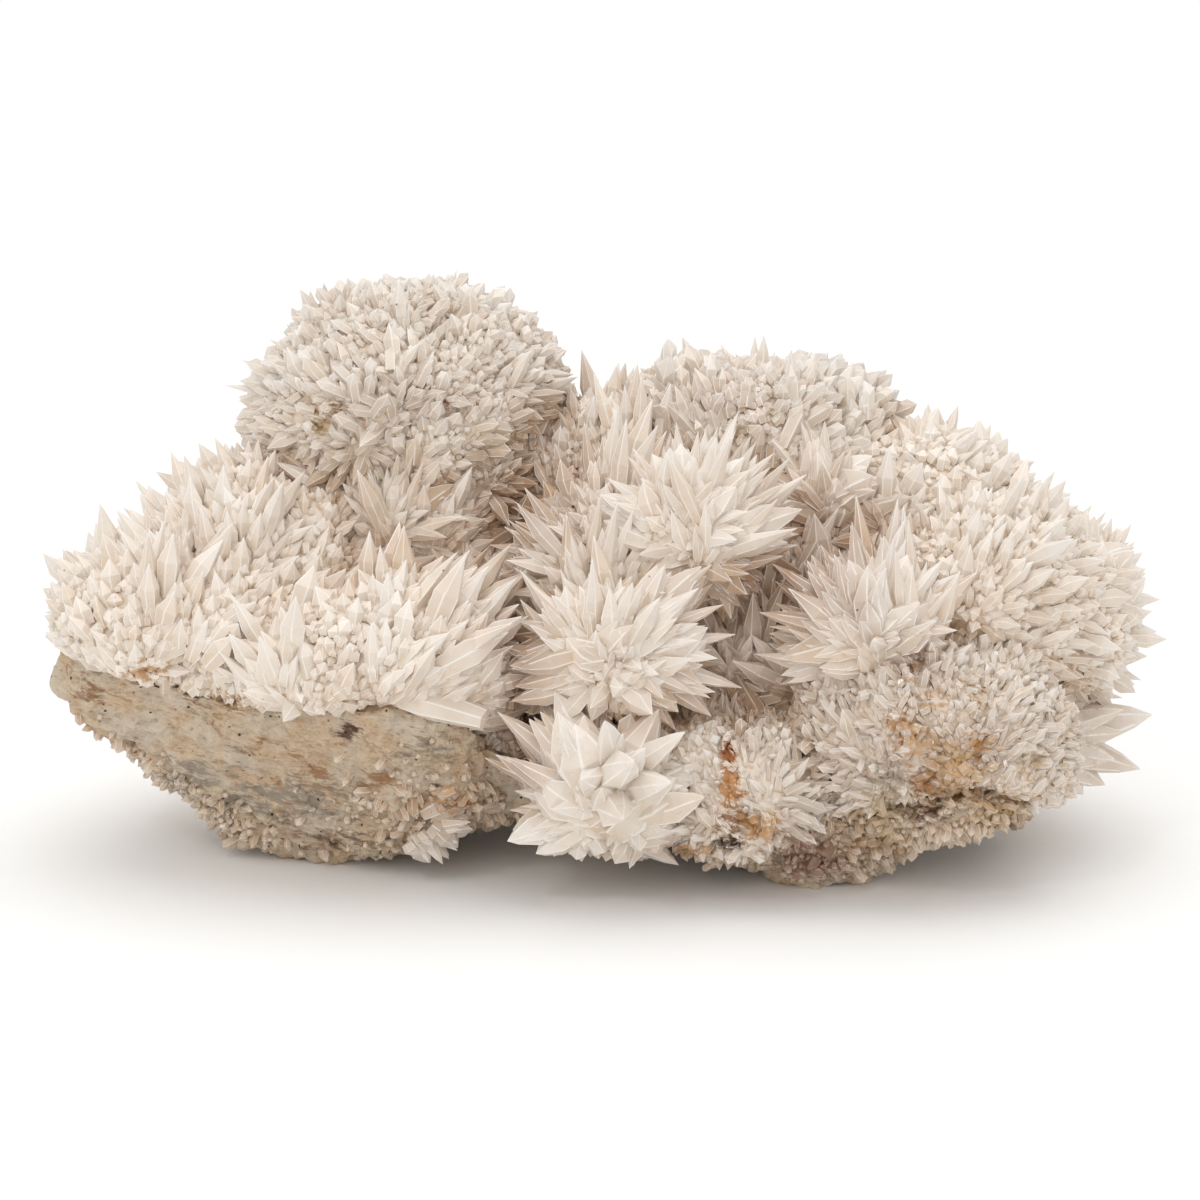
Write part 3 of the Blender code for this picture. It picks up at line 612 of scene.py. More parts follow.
sprays = {
    "dome": ((-49, 20, 99), 22, (
        (170, 10, 43, 6), (160, 5, 41, 5), (175, 20, 39, 5), (150, 0, 36, 6), (15, 5, 40, 5),
        (30, -5, 41, 5), (65, -5, 36, 6), (88, 0, 33, 6), (125, 0, 32, 6), (-15, 40, 42, 5),
        (-8, 50, 42, 5), (-5, 20, 43, 5), (-26, 35, 43, 5), (130, 40, 34, 6), (60, 45, 34, 7),
        (20, 55, 36, 6), (170, 55, 36, 6),
    )),
    "ridge": ((-51, -2, 78), 90, (
        (113, 8, 28, 4), (105, 20, 25, 4), (100, 15, 26, 4), (88, 15, 25, 4), (72, 15, 25, 4),
        (80, 35, 24, 4), (70, 30, 25, 4), (42, 30, 26, 4), (48, 45, 26, 4), (28, 50, 28, 5), (8, 40, 31, 5),
        (2, 27, 31, 5), (0, 47, 33, 5), (-14, 27, 35, 5), (157, -5, 40, 6),
    )),
    "leftEnd": ((-106, -6, 56), 60, (
        (132, -20, 23, 6), (165, -5, 22, 6), (116, -30, 24, 6), (95, -35, 25, 6), (67, -30, 30, 6),
        (150, 35, 24, 6), (110, 45, 26, 6), (70, 50, 28, 6), (-165, 30, 20, 6),
    )),
    "frontLeft": ((-40, -34, 54), 70, (
        (-15, 32, 23, 8), (-46, 30, 20, 8), (72, 28, 22, 5), (39, 36, 18, 5), (93, 53, 21, 6),
        (150, 50, 24, 6), (120, 25, 24, 6), (-170, 60, 20, 6),
    )),
    "column": ((1, -18, 70), 50, (
        (150, -10, 27, 5), (143, 17, 21, 5), (158, 10, 22, 5), (170, -5, 27, 5), (-176, 17, 28, 6),
        (-165, 20, 28, 6), (-149, 36, 27, 6), (-139, 33, 30, 6),
    )),
    "centre": ((2, -36, 54), 80, (
        (3, 30, 29, 6), (-11, 15, 32, 6), (15, 35, 29, 6), (12, 15, 28, 5), (-7, 54, 27, 6),
        (11, 70, 30, 6), (-34, 54, 27, 6), (41, 10, 31, 6), (48, 25, 28, 6), (45, 40, 28, 6),
        (26, 20, 30, 5), (-174, 22, 26, 6), (70, 30, 24, 6), (110, 40, 22, 6), (140, 55, 24, 6),
        (55, 80, 28, 6),
    )),
    "lower": ((-1, -44, 22), 60, (
        (138, 8, 31, 7), (147, 15, 29, 7), (158, 5, 26, 6), (112, 32, 33, 8), (76, 38, 33, 8),
        (59, 40, 32, 9), (32, 50, 30, 8), (160, 50, 25, 7), (14, 30, 27, 7), (2, 25, 26, 7),
        (95, 62, 30, 9), (-12, 20, 24, 6), (-168, 40, 23, 6), (125, 65, 26, 8), (50, 70, 28, 9),
    )),
    "flower": ((19, -24, 78), 110, (
        (142, 18, 25, 5), (129, 10, 25, 5), (150, 30, 26, 5), (120, 5, 24, 5), (94, 0, 26, 5),
        (86, 10, 26, 5), (76, 10, 26, 5), (68, -20, 30, 5), (56, 0, 27, 5), (48, 13, 27, 5),
        (36, 15, 26, 5), (29, 48, 29, 5), (18, 52, 30, 5), (10, 60, 31, 6), (6, 42, 27, 5),
        (-150, 70, 23, 5), (-96, 75, 23, 5), (-37, 70, 23, 5), (-35, 50, 23, 5), (85, 35, 26, 6),
        (115, 50, 26, 6), (60, 45, 26, 6),
    )),
    "mound": ((37, 22, 92), 30, (
        (114, 0, 26, 7), (107, 10, 24, 6), (87, -5, 25, 7), (73, 5, 24, 6), (60, -5, 27, 6),
        (40, -5, 26, 6), (125, -10, 27, 6), (150, 0, 26, 6), (165, 15, 33, 5), (84, 44, 27, 7),
        (104, 53, 27, 7), (45, 49, 27, 7),
    )),
    "rightFlower": ((51, -3, 81), 60, (
        (128, 17, 22, 5), (108, 10, 23, 5), (89, 12, 22, 5), (73, 27, 19, 5), (148, 50, 24, 5),
        (76, 62, 23, 6), (30, 50, 24, 6), (100, 45, 24, 5),
    )),
    "rightShoulder": ((76, 8, 85), 60, (
        (35, 5, 20, 6), (49, 0, 18, 6), (72, -12, 20, 6), (91, -5, 20, 6), (106, -13, 20, 5),
        (119, -15, 22, 6), (131, 42, 22, 5), (85, 60, 22, 6), (40, 45, 24, 6),
    )),
    "rightLobe": ((112, 0, 60), 80, (
        (122, -12, 27, 5), (115, -5, 23, 5), (100, -10, 22, 5), (85, -18, 21, 5), (73, -5, 20, 5),
        (58, -10, 20, 5), (44, -5, 19, 5), (20, 0, 17, 5), (-20, 23, 16, 5), (-35, 12, 18, 6),
        (90, 45, 24, 6), (140, 55, 28, 6), (30, 50, 20, 6), (-60, 50, 18, 6), (45, -50, 20, 6),
        (100, -55, 24, 6),
    )),
    "rightLow": ((97, -8, 27), 12, (
        (12, 4, 30, 13), (-15, 6, 31, 12), (-42, 20, 21, 8), (-62, 14, 18, 6), (-84, 5, 16, 6),
        (-99, 10, 15, 6), (24, 20, 27, 10), (-4, 30, 25, 10), (41, -5, 25, 8), (10, 50, 22, 8),
        (0, -50, 24, 7), (-32, 36, 22, 8),
    )),
    "crustCorner": ((-42, -30, 14), 30, (
        (-4, 25, 15, 5), (-18, 30, 14, 5), (-34, 25, 13, 4), (12, 30, 15, 4), (-50, 30, 12, 4),
        (24, 20, 14, 4),
    )),
    "fan": ((59, -36, 57), 70, (
        (100, 0, 27, 6), (92, 41, 28, 7), (82, 14, 26, 6), (74, -5, 27, 6), (131, 31, 23, 6),
        (152, 31, 23, 6), (40, 48, 20, 6), (-174, 44, 25, 5), (167, 8, 27, 6), (144, -5, 28, 6),
        (33, -5, 25, 6), (32, 62, 21, 7), (120, 55, 26, 6), (110, 25, 26, 6),
    )),
}

# the crystals that reach furthest to the left, right, front and back: root, tip and width
farCrystals = (
    ((-106, -6, 56), (-130, -7, 57), 6),
    ((112, 0, 60), (130, -2, 59), 6),
    ((0, -45, 28), (6, -74, 40), 9), ((0, -44, 27), (-5, -70, 35), 8), ((3, -43, 26), (14, -69, 34), 8),
    ((2, -44, 29), (0, -67, 47), 8), ((4, -42, 28), (17, -65, 44), 8), ((0, -44, 24), (4, -69, 26), 9),
    ((-20, 48, 52), (-24, 74, 56), 7),
)

# fans round the back and the sides: centre, the way the fan looks, count, half angle, reach and width
fans = {
    "backDome": ((-46, 40, 100), (-0.1, 1.0, 0.3), 22, 65, 28, 6),
    "backLeft": ((-56, 50, 52), (-0.3, 1.0, 0.2), 30, 75, 25, 7),
    "backCentre": ((-7, 45, 67), (0.0, 1.0, 0.4), 24, 62, 28, 6),
    "backMound": ((36, 38, 88), (0.2, 1.0, 0.5), 22, 60, 26, 6),
    "backRight": ((34, 52, 46), (0.1, 1.0, -0.1), 28, 75, 24, 7),
    "backEnd": ((88, 42, 52), (0.5, 1.0, 0.1), 30, 75, 26, 7),
    "leftBack": ((-94, 24, 58), (-0.9, 0.6, 0.2), 28, 70, 29, 7),
    "rightBack": ((108, 14, 58), (1.0, 0.5, 0.3), 24, 65, 21, 6),
}

sprayLook = dict(
    between=3.6,        # a spray tries this many times its fullness of ways for the crystals in between
    near=0.8,           # how near to a named crystal's way they have to be, as a cosine
    fillLean=0.25,      # how far they stray from an even spread
    fillReach=(0.56, 0.84),         # how long they are, as a share of the named one
    fillWidth=(0.8, 1.35),          # and how wide
    rootStray=(1.5, 3.0),           # how far named crystals and the others start from the spray's centre
    beside=(1, 3),      # each crystal has one or two thinner ones grown along with it
    besideLean=0.16,
    besideReach=(0.66, 0.95),
    besideWidth=(0.55, 0.95),
    besideRoot=0.35,    # how far from its root theirs lie, as a share of its width
    slim=0.95,          # all widths are this share of the table's
    forward=0.45,       # crystals that point at the front are shorter by up to this share
    frontFrom=0.4,      # those that point at the front more than this lie against the others
    frontRoot=0.38,     # they start this far out along their way
    frontLift=0.3,      # and keep this much of it
    frontLean=0.2,
    frontReach=0.85,
    frontWidth=1.25,
)
fanLook = dict(
    crowd=3,            # a fan has this many times its count of crystals
    lean=0.15,
    rootStray=3,
    reach=(0.65, 1.1),
    width=(0.45, 0.9),
)


def sprayWay(turn, lean):
    t, s = math.radians(turn), math.radians(lean)
    return Vector((math.cos(t) * math.cos(s), -math.sin(s), math.sin(t) * math.cos(s)))


def spread(way):
    # how much of its reach a crystal keeps: less where it points to the front
    return 1 - sprayLook["forward"] * max(0, -way.y) ** 2


def keptInside(root, tip):
    # shorten a crystal whose tip would pass the outermost places, or come too near the floor
    share = 1
    for axis, half in enumerate((outermost["halfWidth"], outermost["halfDepth"])):
        half -= outermost["margin"]
        if abs(tip[axis]) > half * mm:
            share = min(share, (half * mm - abs(root[axis])) / (abs(tip[axis]) - abs(root[axis])))
    top, bottom = outermost["height"], outermost["lowest"]
    for level, past in ((top, tip.z > top * mm), (bottom, tip.z < bottom * mm)):
        if past:
            share = min(share, (level * mm - root.z) / (tip.z - root.z))
    return root.lerp(tip, max(0.2, share))


# the snapped-off crystal at the front left: root, tip and width
brokenCrystals = (
    ((-48, -40, 47), (-26, -49, 42.5), 9),
)


class CrystalBatch:
    # gathers long crystals into one mesh
    def __init__(self):
        self.corners, self.faces, self.uvs, self.tones, self.axes, self.middles = [], [], [], [], [], []

    def add(self, root, tip, width, rng, form=longForm):
        way = (tip - root).normalized()
        side = way.orthogonal().normalized()
        other = way.cross(side)
        length = (tip - root).length
        start = len(self.corners)
        corners = crystalCorners(form, rng.uniform(0, 2), rng.uniform(0.65, 0.95))
        faces, uvs = crystalFaces(form, corners)
        self.corners += [root + (side * x + other * y) * width + way * z * length for x, y, z in corners]
        self.uvs += uvs
        self.faces += [tuple(start + i for i in face) for face in faces]
        self.tones += [rng.random()] * len(corners)
        self.axes += [way] * len(corners)
        self.middles += [root.lerp(tip, 0.8)] * len(corners)

    def bundle(self, root, way, reach, width, rng):
        # one crystal and the thinner ones grown along with it; sizes in millimetres
        width *= sprayLook["slim"]
        self.add(root, keptInside(root, root + way * reach * mm), width * mm, rng)
        for _ in range(rng.randrange(*sprayLook["beside"])):
            lean = (way + randomVector(rng, sprayLook["besideLean"])).normalized()
            start = root + randomVector(rng, width * sprayLook["besideRoot"]) * mm
            tip = keptInside(start, start + lean * reach * rng.uniform(*sprayLook["besideReach"]) * mm)
            self.add(start, tip, width * rng.uniform(*sprayLook["besideWidth"]) * mm, rng)

    def finish(self, name, finish, skin):
        mesh = bpy.data.meshes.new(name)
        mesh.from_pydata(self.corners, [], self.faces)
        mesh.uv_layers.new(name="facet").data.foreach_set("uv", np.array(self.uvs, np.float32).ravel())
        setAttribute(mesh, "tone", "FLOAT", self.tones)
        setAttribute(mesh, "axis", "FLOAT_VECTOR", self.axes)
        # the cavity at each crystal's middle, for the painted shade in cavities
        closed = skin.attributes["cavity"].data
        tree = KDTree(len(closed))
        for i, v in enumerate(skin.vertices):
            tree.insert(v.co, i)
        tree.balance()
        nearest, values = None, []
        for middle in self.middles:
            if middle is not nearest:
                nearest, value = middle, closed[tree.find(middle)[1]].value
            values.append(value)
        setAttribute(mesh, "cavity", "FLOAT", values)
        mesh.materials.append(finish)
        print(name, len(self.faces), "faces")
        return addObject(name, mesh)


def buildSprays(skin, finish):
    rng = random.Random(6)
    inner = treeOf(skin.data)
    namedStray, fillStray = sprayLook["rootStray"]
    batches = {name: CrystalBatch() for name in ("spraysLeft", "spraysMiddle", "spraysRight", "spraysBack")}
    for root, tip, width in farCrystals:
        batches["spraysMiddle"].add(Vector(root) * mm, Vector(tip) * mm, width * mm, rng)
    for root, tip, width in brokenCrystals:
        batches["spraysLeft"].add(Vector(root) * mm, Vector(tip) * mm, width * mm, rng, brokenForm)

    def buried(root, way, reach):
        # whether the tip is still inside the skin
        hit = inner.ray_cast(root + way * reach, way, 0.05)
        return hit[0] is not None and hit[1].dot(way) > 0

    for centre, fill, crystals in sprays.values():
        heart = Vector(centre) * mm
        side = "spraysLeft" if heart.x < -30 * mm else "spraysRight" if heart.x > 45 * mm else "spraysMiddle"
        batch = batches[side]
        ways = []
        for turn, lean, reach, width in crystals:
            way = sprayWay(turn, lean)
            ways.append((way, reach, width))
            root = heart + randomVector(rng, namedStray) * mm
            batch.bundle(root, way, reach * spread(way), width, rng)
        for way in evenWays(round(fill * sprayLook["between"])):
            way = (way + randomVector(rng, sprayLook["fillLean"])).normalized()
            near = max(ways, key=lambda w: w[0].dot(way))
            if near[0].dot(way) < sprayLook["near"]:
                continue
            reach = near[1] * rng.uniform(*sprayLook["fillReach"]) * spread(way)
            root = heart + randomVector(rng, fillStray) * mm
            if buried(root, way, reach * mm):
                continue
            wider = 1
            if -way.y > sprayLook["frontFrom"]:
                # on the front, crystals lie against the others and show their long faces
                flat = Vector((near[0].x, 0, near[0].z)).normalized()
                root += way * reach * sprayLook["frontRoot"] * mm
                stray = randomVector(rng, sprayLook["frontLean"])
                way = (way * sprayLook["frontLift"] + flat + stray).normalized()
                reach *= sprayLook["frontReach"]
                wider = sprayLook["frontWidth"]
            batch.bundle(root, way, reach, near[2] * wider * rng.uniform(*sprayLook["fillWidth"]), rng)
    for centre, look, count, halfAngle, reach, width in fans.values():
        look = Vector(look).normalized()
        side = look.orthogonal().normalized()
        other = look.cross(side)
        for k in range(count * fanLook["crowd"]):
            off = math.radians(halfAngle) * math.sqrt((k + 0.5) / (count * fanLook["crowd"]))
            turn = k * math.radians(137.5)
            way = look * math.cos(off) + (side * math.cos(turn) + other * math.sin(turn)) * math.sin(off)
            way = (way + randomVector(rng, fanLook["lean"])).normalized()
            root = (Vector(centre) + randomVector(rng, fanLook["rootStray"])) * mm
            length = reach * rng.uniform(*fanLook["reach"])
            if buried(root, way, length * mm):
                continue
            batches["spraysBack"].bundle(root, way, length, width * rng.uniform(*fanLook["width"]), rng)
    return [batch.finish(name, finish, skin.data) for name, batch in batches.items()]


# the crust under the crystals

crustLook = dict(
    voxel=0.95,                                  # facets of the rough surface
    waves=((16, 1.6), (5.5, 1.6), (2.3, 1.5)),   # length and height of its lumps
    ledges=(3.0, 1.6),                           # height and depth of the layers that stand out of it
    ledgeFall=0.2,                               # how much they fall to the right
    ledgeWander=15,                              # length of their own waves
    ledgeFade=9,                                 # and of the stretches where they stand out
    grainReach=3.4,                              # the grains that grow on it
    grainWidth=2.0,
    rightHalf=(-4, 12),                          # grains cover it from here, over this width
    toothedEdge=dict(right=-96, up=-46, fall=0.63, halfLength=22, halfHeight=4),   # in the front view
    corner=dict(right=-40, up=-50, halfLength=22, halfHeight=9),
)
crustGrainsLook = dict(grade="grains", x=whole, y=whole, seed=10)


def buildCrust(finish):
    mesh = frame["nodes"]["matrix"].data.copy()
    obj = addObject("crust", mesh)
    bm = bmesh.new()
    bm.from_mesh(mesh)
    bmesh.ops.remove_doubles(bm, verts=bm.verts[:], dist=1e-6)
    bm.to_mesh(mesh)
    bm.free()
    mesh.materials.clear()
    remesh = obj.modifiers.new("even", "REMESH")
    remesh.mode = "VOXEL"
    remesh.voxel_size = crustLook["voxel"] * mm
    ease = obj.modifiers.new("ease", "SMOOTH")
    ease.factor = 0.6
    ease.iterations = 6
    obj = asMesh(obj, "crust")
    mesh = obj.data
    normals = [v.normal.copy() for v in mesh.vertices]
    ledgeHeight, ledgeDepth = crustLook["ledges"]
    places = []
    for v, normal in zip(mesh.vertices, normals):
        rough = sum(height * noise.noise(v.co / (length * mm)) for length, height in crustLook["waves"])
        wander = 2 * noise.noise(v.co / (crustLook["ledgeWander"] * mm))
        level = (v.co.z + crustLook["ledgeFall"] * v.co.x) / mm / ledgeHeight + wander
        fade = 0.3 + noise.noise(v.co / (crustLook["ledgeFade"] * mm))
        rough += ledgeDepth * (level - math.floor(level) - 0.5) * fade
        place = v.co + normal * rough * mm
        place.z = max(0, place.z)
        places.extend(place)
    mesh.vertices.foreach_set("co", places)
    mesh.materials.clear()
    mesh.materials.append(finish)
    print("crust", len(mesh.polygons), "faces")
    return obj


def markCrust(crust):
    # where grains grow on the crust: all over its right half, and along its toothed lower left edge
    mesh = crust.data
    places = placesOf(mesh).astype(float)
    normals = np.array([v.normal for v in mesh.vertices])
    right, up = frontView(places)
    line, spot = crustLook["toothedEdge"], crustLook["corner"]
    along = right - line["right"]
    off = up - line["up"] + line["fall"] * along
    edge = np.exp(-(along / line["halfLength"]) ** 2 - (off / line["halfHeight"]) ** 2)
    corner = np.exp(-((right - spot["right"]) / spot["halfLength"]) ** 2
                    - ((up - spot["up"]) / spot["halfHeight"]) ** 2)
    start, width = crustLook["rightHalf"]
    rightHalf = np.clip((places[:, 0] / mm - start) / width, 0, 1)
    high = np.clip(places[:, 2] / mm / 2 - 1, 0, 1)      # none where it touches the floor
    crowd = np.clip(np.maximum.reduce([1.3 * edge, rightHalf, 0.9 * corner]), 0, 1) * high
    down = np.maximum(1e-6, -normals[:, 2])
    room = np.where(normals[:, 2] < 0, (places[:, 2] - outermost["floor"] * mm) / down / 1.2, 1)
    reach = np.minimum(crustLook["grainReach"] * mm, room)
    setAttribute(mesh, "growth", "FLOAT_VECTOR", normals)
    setAttribute(mesh, "reach", "FLOAT", reach)
    setAttribute(mesh, "girth", "FLOAT", np.full(len(places), crustLook["grainWidth"] * mm))
    for habit in habits:
        setAttribute(mesh, habit, "FLOAT", crowd * (habit == "sugar") * (reach > 1 * mm))


# stains of iron and clay, as they show in the front view: right, up, half width, half height, colour, most
stains = (
    (-119, -21, 6, 5, "#9A7352", 0.75), (-108, -17, 12, 4, "#C39B70", 0.7),
    (-88, -24, 10, 4, "#A07A54", 0.7), (-83, -34, 8, 3, "#A8805A", 0.6), (-59, -31, 6, 3, "#6E5240", 0.8),
    (-66, -41, 7, 4, "#B07A48", 0.7), (-52, -42, 7, 3, "#B08458", 0.7), (-40, -35, 14, 6, "#A39482", 0.6),
    (-74, -46, 24, 8, "#A89A88", 0.75), (-97, -41, 12, 7, "#A99B8A", 0.7),
    (-62, -56, 20, 5, "#8C7460", 0.6), (-35, -47, 14, 6, "#D3A679", 0.6), (-66, 41, 4, 4, "#B99A6A", 0.8),
    (-62, 45, 3, 2, "#9A744E", 0.8), (-36, 46, 2, 2, "#8C6245", 0.8), (-43, 54, 2, 3, "#B08B66", 0.7),
    (-30, 36, 20, 8, "#D5BFA4", 0.5), (30, -37, 3, 5, "#A0602A", 1.0), (31, -44, 4, 6, "#C68B4C", 0.9),
    (32, -52, 6, 4, "#8A6242", 0.9), (37, -53, 6, 5, "#CC9A5E", 0.9), (30, -57, 5, 2, "#2E211A", 1.0),
    (21, -59, 10, 2, "#C79A6A", 0.9), (50, -61, 12, 7, "#A5836F", 0.9), (66, -57, 10, 4, "#BE9A70", 0.8),
    (74, -33, 10, 7, "#D2A878", 0.75), (84, -40, 13, 10, "#D0AB7C", 0.75), (94, -49, 12, 7, "#C6A67C", 0.7),
    (80, -22, 12, 7, "#C49C74", 0.6), (100, -38, 8, 8, "#CDAF88", 0.6), (60, -52, 12, 6, "#C0A284", 0.6),
    (76, -43, 5, 5, "#A87444", 0.9), (90, -34, 5, 4, "#B58450", 0.8), (70, -29, 5, 4, "#B88A5C", 0.8),
    (82, -45, 10, 3, "#80583C", 0.85), (75, -50, 9, 3, "#64432E", 0.9), (68, -43, 6, 13, "#A2978D", 0.75),
    (67, -50, 7, 7, "#D5B98A", 0.9), (78, -38, 5, 9, "#A98A6A", 0.7), (74, -15, 8, 8, "#A9835F", 0.6),
    (88, -22, 14, 9, "#CDB393", 0.5), (115, -34, 15, 17, "#D2C2AA", 0.5),
)


# painted shade in the hollows between the lobes, warm brown, with some iron staining in it: right, up, half
# width, half height, strength
shadedHollows = (
    (43, 3, 14, 8, 1.0), (35, -23, 5, 6, 0.9), (-19, -14, 6, 16, 0.8), (-20, 22, 11, 10, 0.9),
    (-12, 38, 12, 12, 0.4), (56, 18, 13, 9, 0.6), (-22, -40, 9, 8, 0.8), (-43, 47, 20, 6, 0.4),
    (28, 46, 18, 5, 0.4), (74, -14, 8, 9, 0.5), (60, -2, 6, 6, 0.6), (4, -12, 5, 6, 0.3),
    (-35, -51, 12, 7, 0.45), (80, -36, 24, 15, 0.5), (52, -56, 20, 9, 0.4), (76, -22, 12, 8, 0.4),
    (118, -34, 12, 18, 0.25), (-8, 30, 10, 14, 0.5),
)


def paintStains(mesh):
    places = placesOf(mesh).astype(float)
    right, up = frontView(places)
    colour, strength = np.zeros((len(places), 3)), np.zeros(len(places))
    total = np.full(len(places), 1e-6)
    for x, y, halfWidth, halfHeight, tint, most in stains:
        share = most * np.exp(-((right - x) / halfWidth) ** 2 - ((up - y) / halfHeight) ** 2)
        share *= places[:, 1] < 10 * mm                  # the stains are on the front
        colour += share[:, None] ** 2 * np.array(linear(tint)[:3])
        total += share ** 2
        strength = np.maximum(strength, share)
    # painted shade in the hollows between the lobes, partly iron stain
    deep = np.zeros(len(places))
    for x, y, halfWidth, halfHeight, most in shadedHollows:
        deep = np.maximum(deep, most * np.exp(-((right - x) / halfWidth) ** 2 - ((up - y) / halfHeight) ** 2))
    setAttribute(mesh, "hollowShade", "FLOAT", deep * (places[:, 1] < 30 * mm))
    values = np.column_stack([colour / total[:, None], strength])
    layer = mesh.attributes.new("stain", "FLOAT_COLOR", "POINT")
    layer.data.foreach_set("color", values.astype(np.float32).ravel())


# materials

layering = (0, 0.2, 0)       # the layers of the crust fall a little to the right


def layOver(tree, under, over, amount, low, high, most=1.0):
    # one colour over another: none of it where the amount is low, and the most where it is high
    share = addNode(tree, "ShaderNodeMapRange", {
        "Value": amount, "From Min": low, "From Max": high, "To Max": most}).outputs[0]
    return addNode(tree, "ShaderNodeMix", {0: share, 6: under, 7: over}, data_type="RGBA").outputs[2]


def stained(tree, colour, place, look):
    # stains with a broken edge, and fine dark specks
    stain = addNode(tree, "ShaderNodeAttribute", attribute_name="stain").outputs
    drawn = addNode(tree, "ShaderNodeMapping", {
        "Vector": place, "Rotation": layering, "Scale": [s * mm for s in look["stainGrain"]]},
        vector_type="TEXTURE").outputs[0]
    grain = addNode(tree, "ShaderNodeTexNoise", {
        "Vector": drawn, "Scale": 1.0, "Detail": 6.0, "Roughness": 0.7}).outputs[0]
    grain = addNode(tree, "ShaderNodeMapRange", {"Value": grain, "From Min": 0.3, "From Max": 0.7}).outputs[0]
    broken = addNode(tree, "ShaderNodeMath", {0: stain["Alpha"], 1: grain}, operation="ADD").outputs[0]
    colour = layOver(tree, colour, stain["Color"], broken, *look["stainEdge"])
    cells = addNode(tree, "ShaderNodeTexVoronoi", {
        "Vector": place, "Scale": 1 / (look["speckGap"] * mm)}).outputs
    near = addNode(tree, "ShaderNodeMapRange", {
        "Value": cells["Distance"], "From Min": look["speckSize"],
        "From Max": look["speckSize"] * 0.6}).outputs[0]
    chosen = addNode(tree, "ShaderNodeSeparateColor", {0: cells["Color"]}).outputs[0]
    rare = addNode(tree, "ShaderNodeMapRange", {
        "Value": chosen, "From Min": look["speckRare"], "From Max": look["speckRare"] - 0.02}).outputs[0]
    speck = addNode(tree, "ShaderNodeMath", {0: near, 1: rare}, operation="MULTIPLY").outputs[0]
    return addNode(tree, "ShaderNodeMix", {0: speck, 6: colour, 7: linear(look["speck"])},
                   data_type="RGBA").outputs[2]


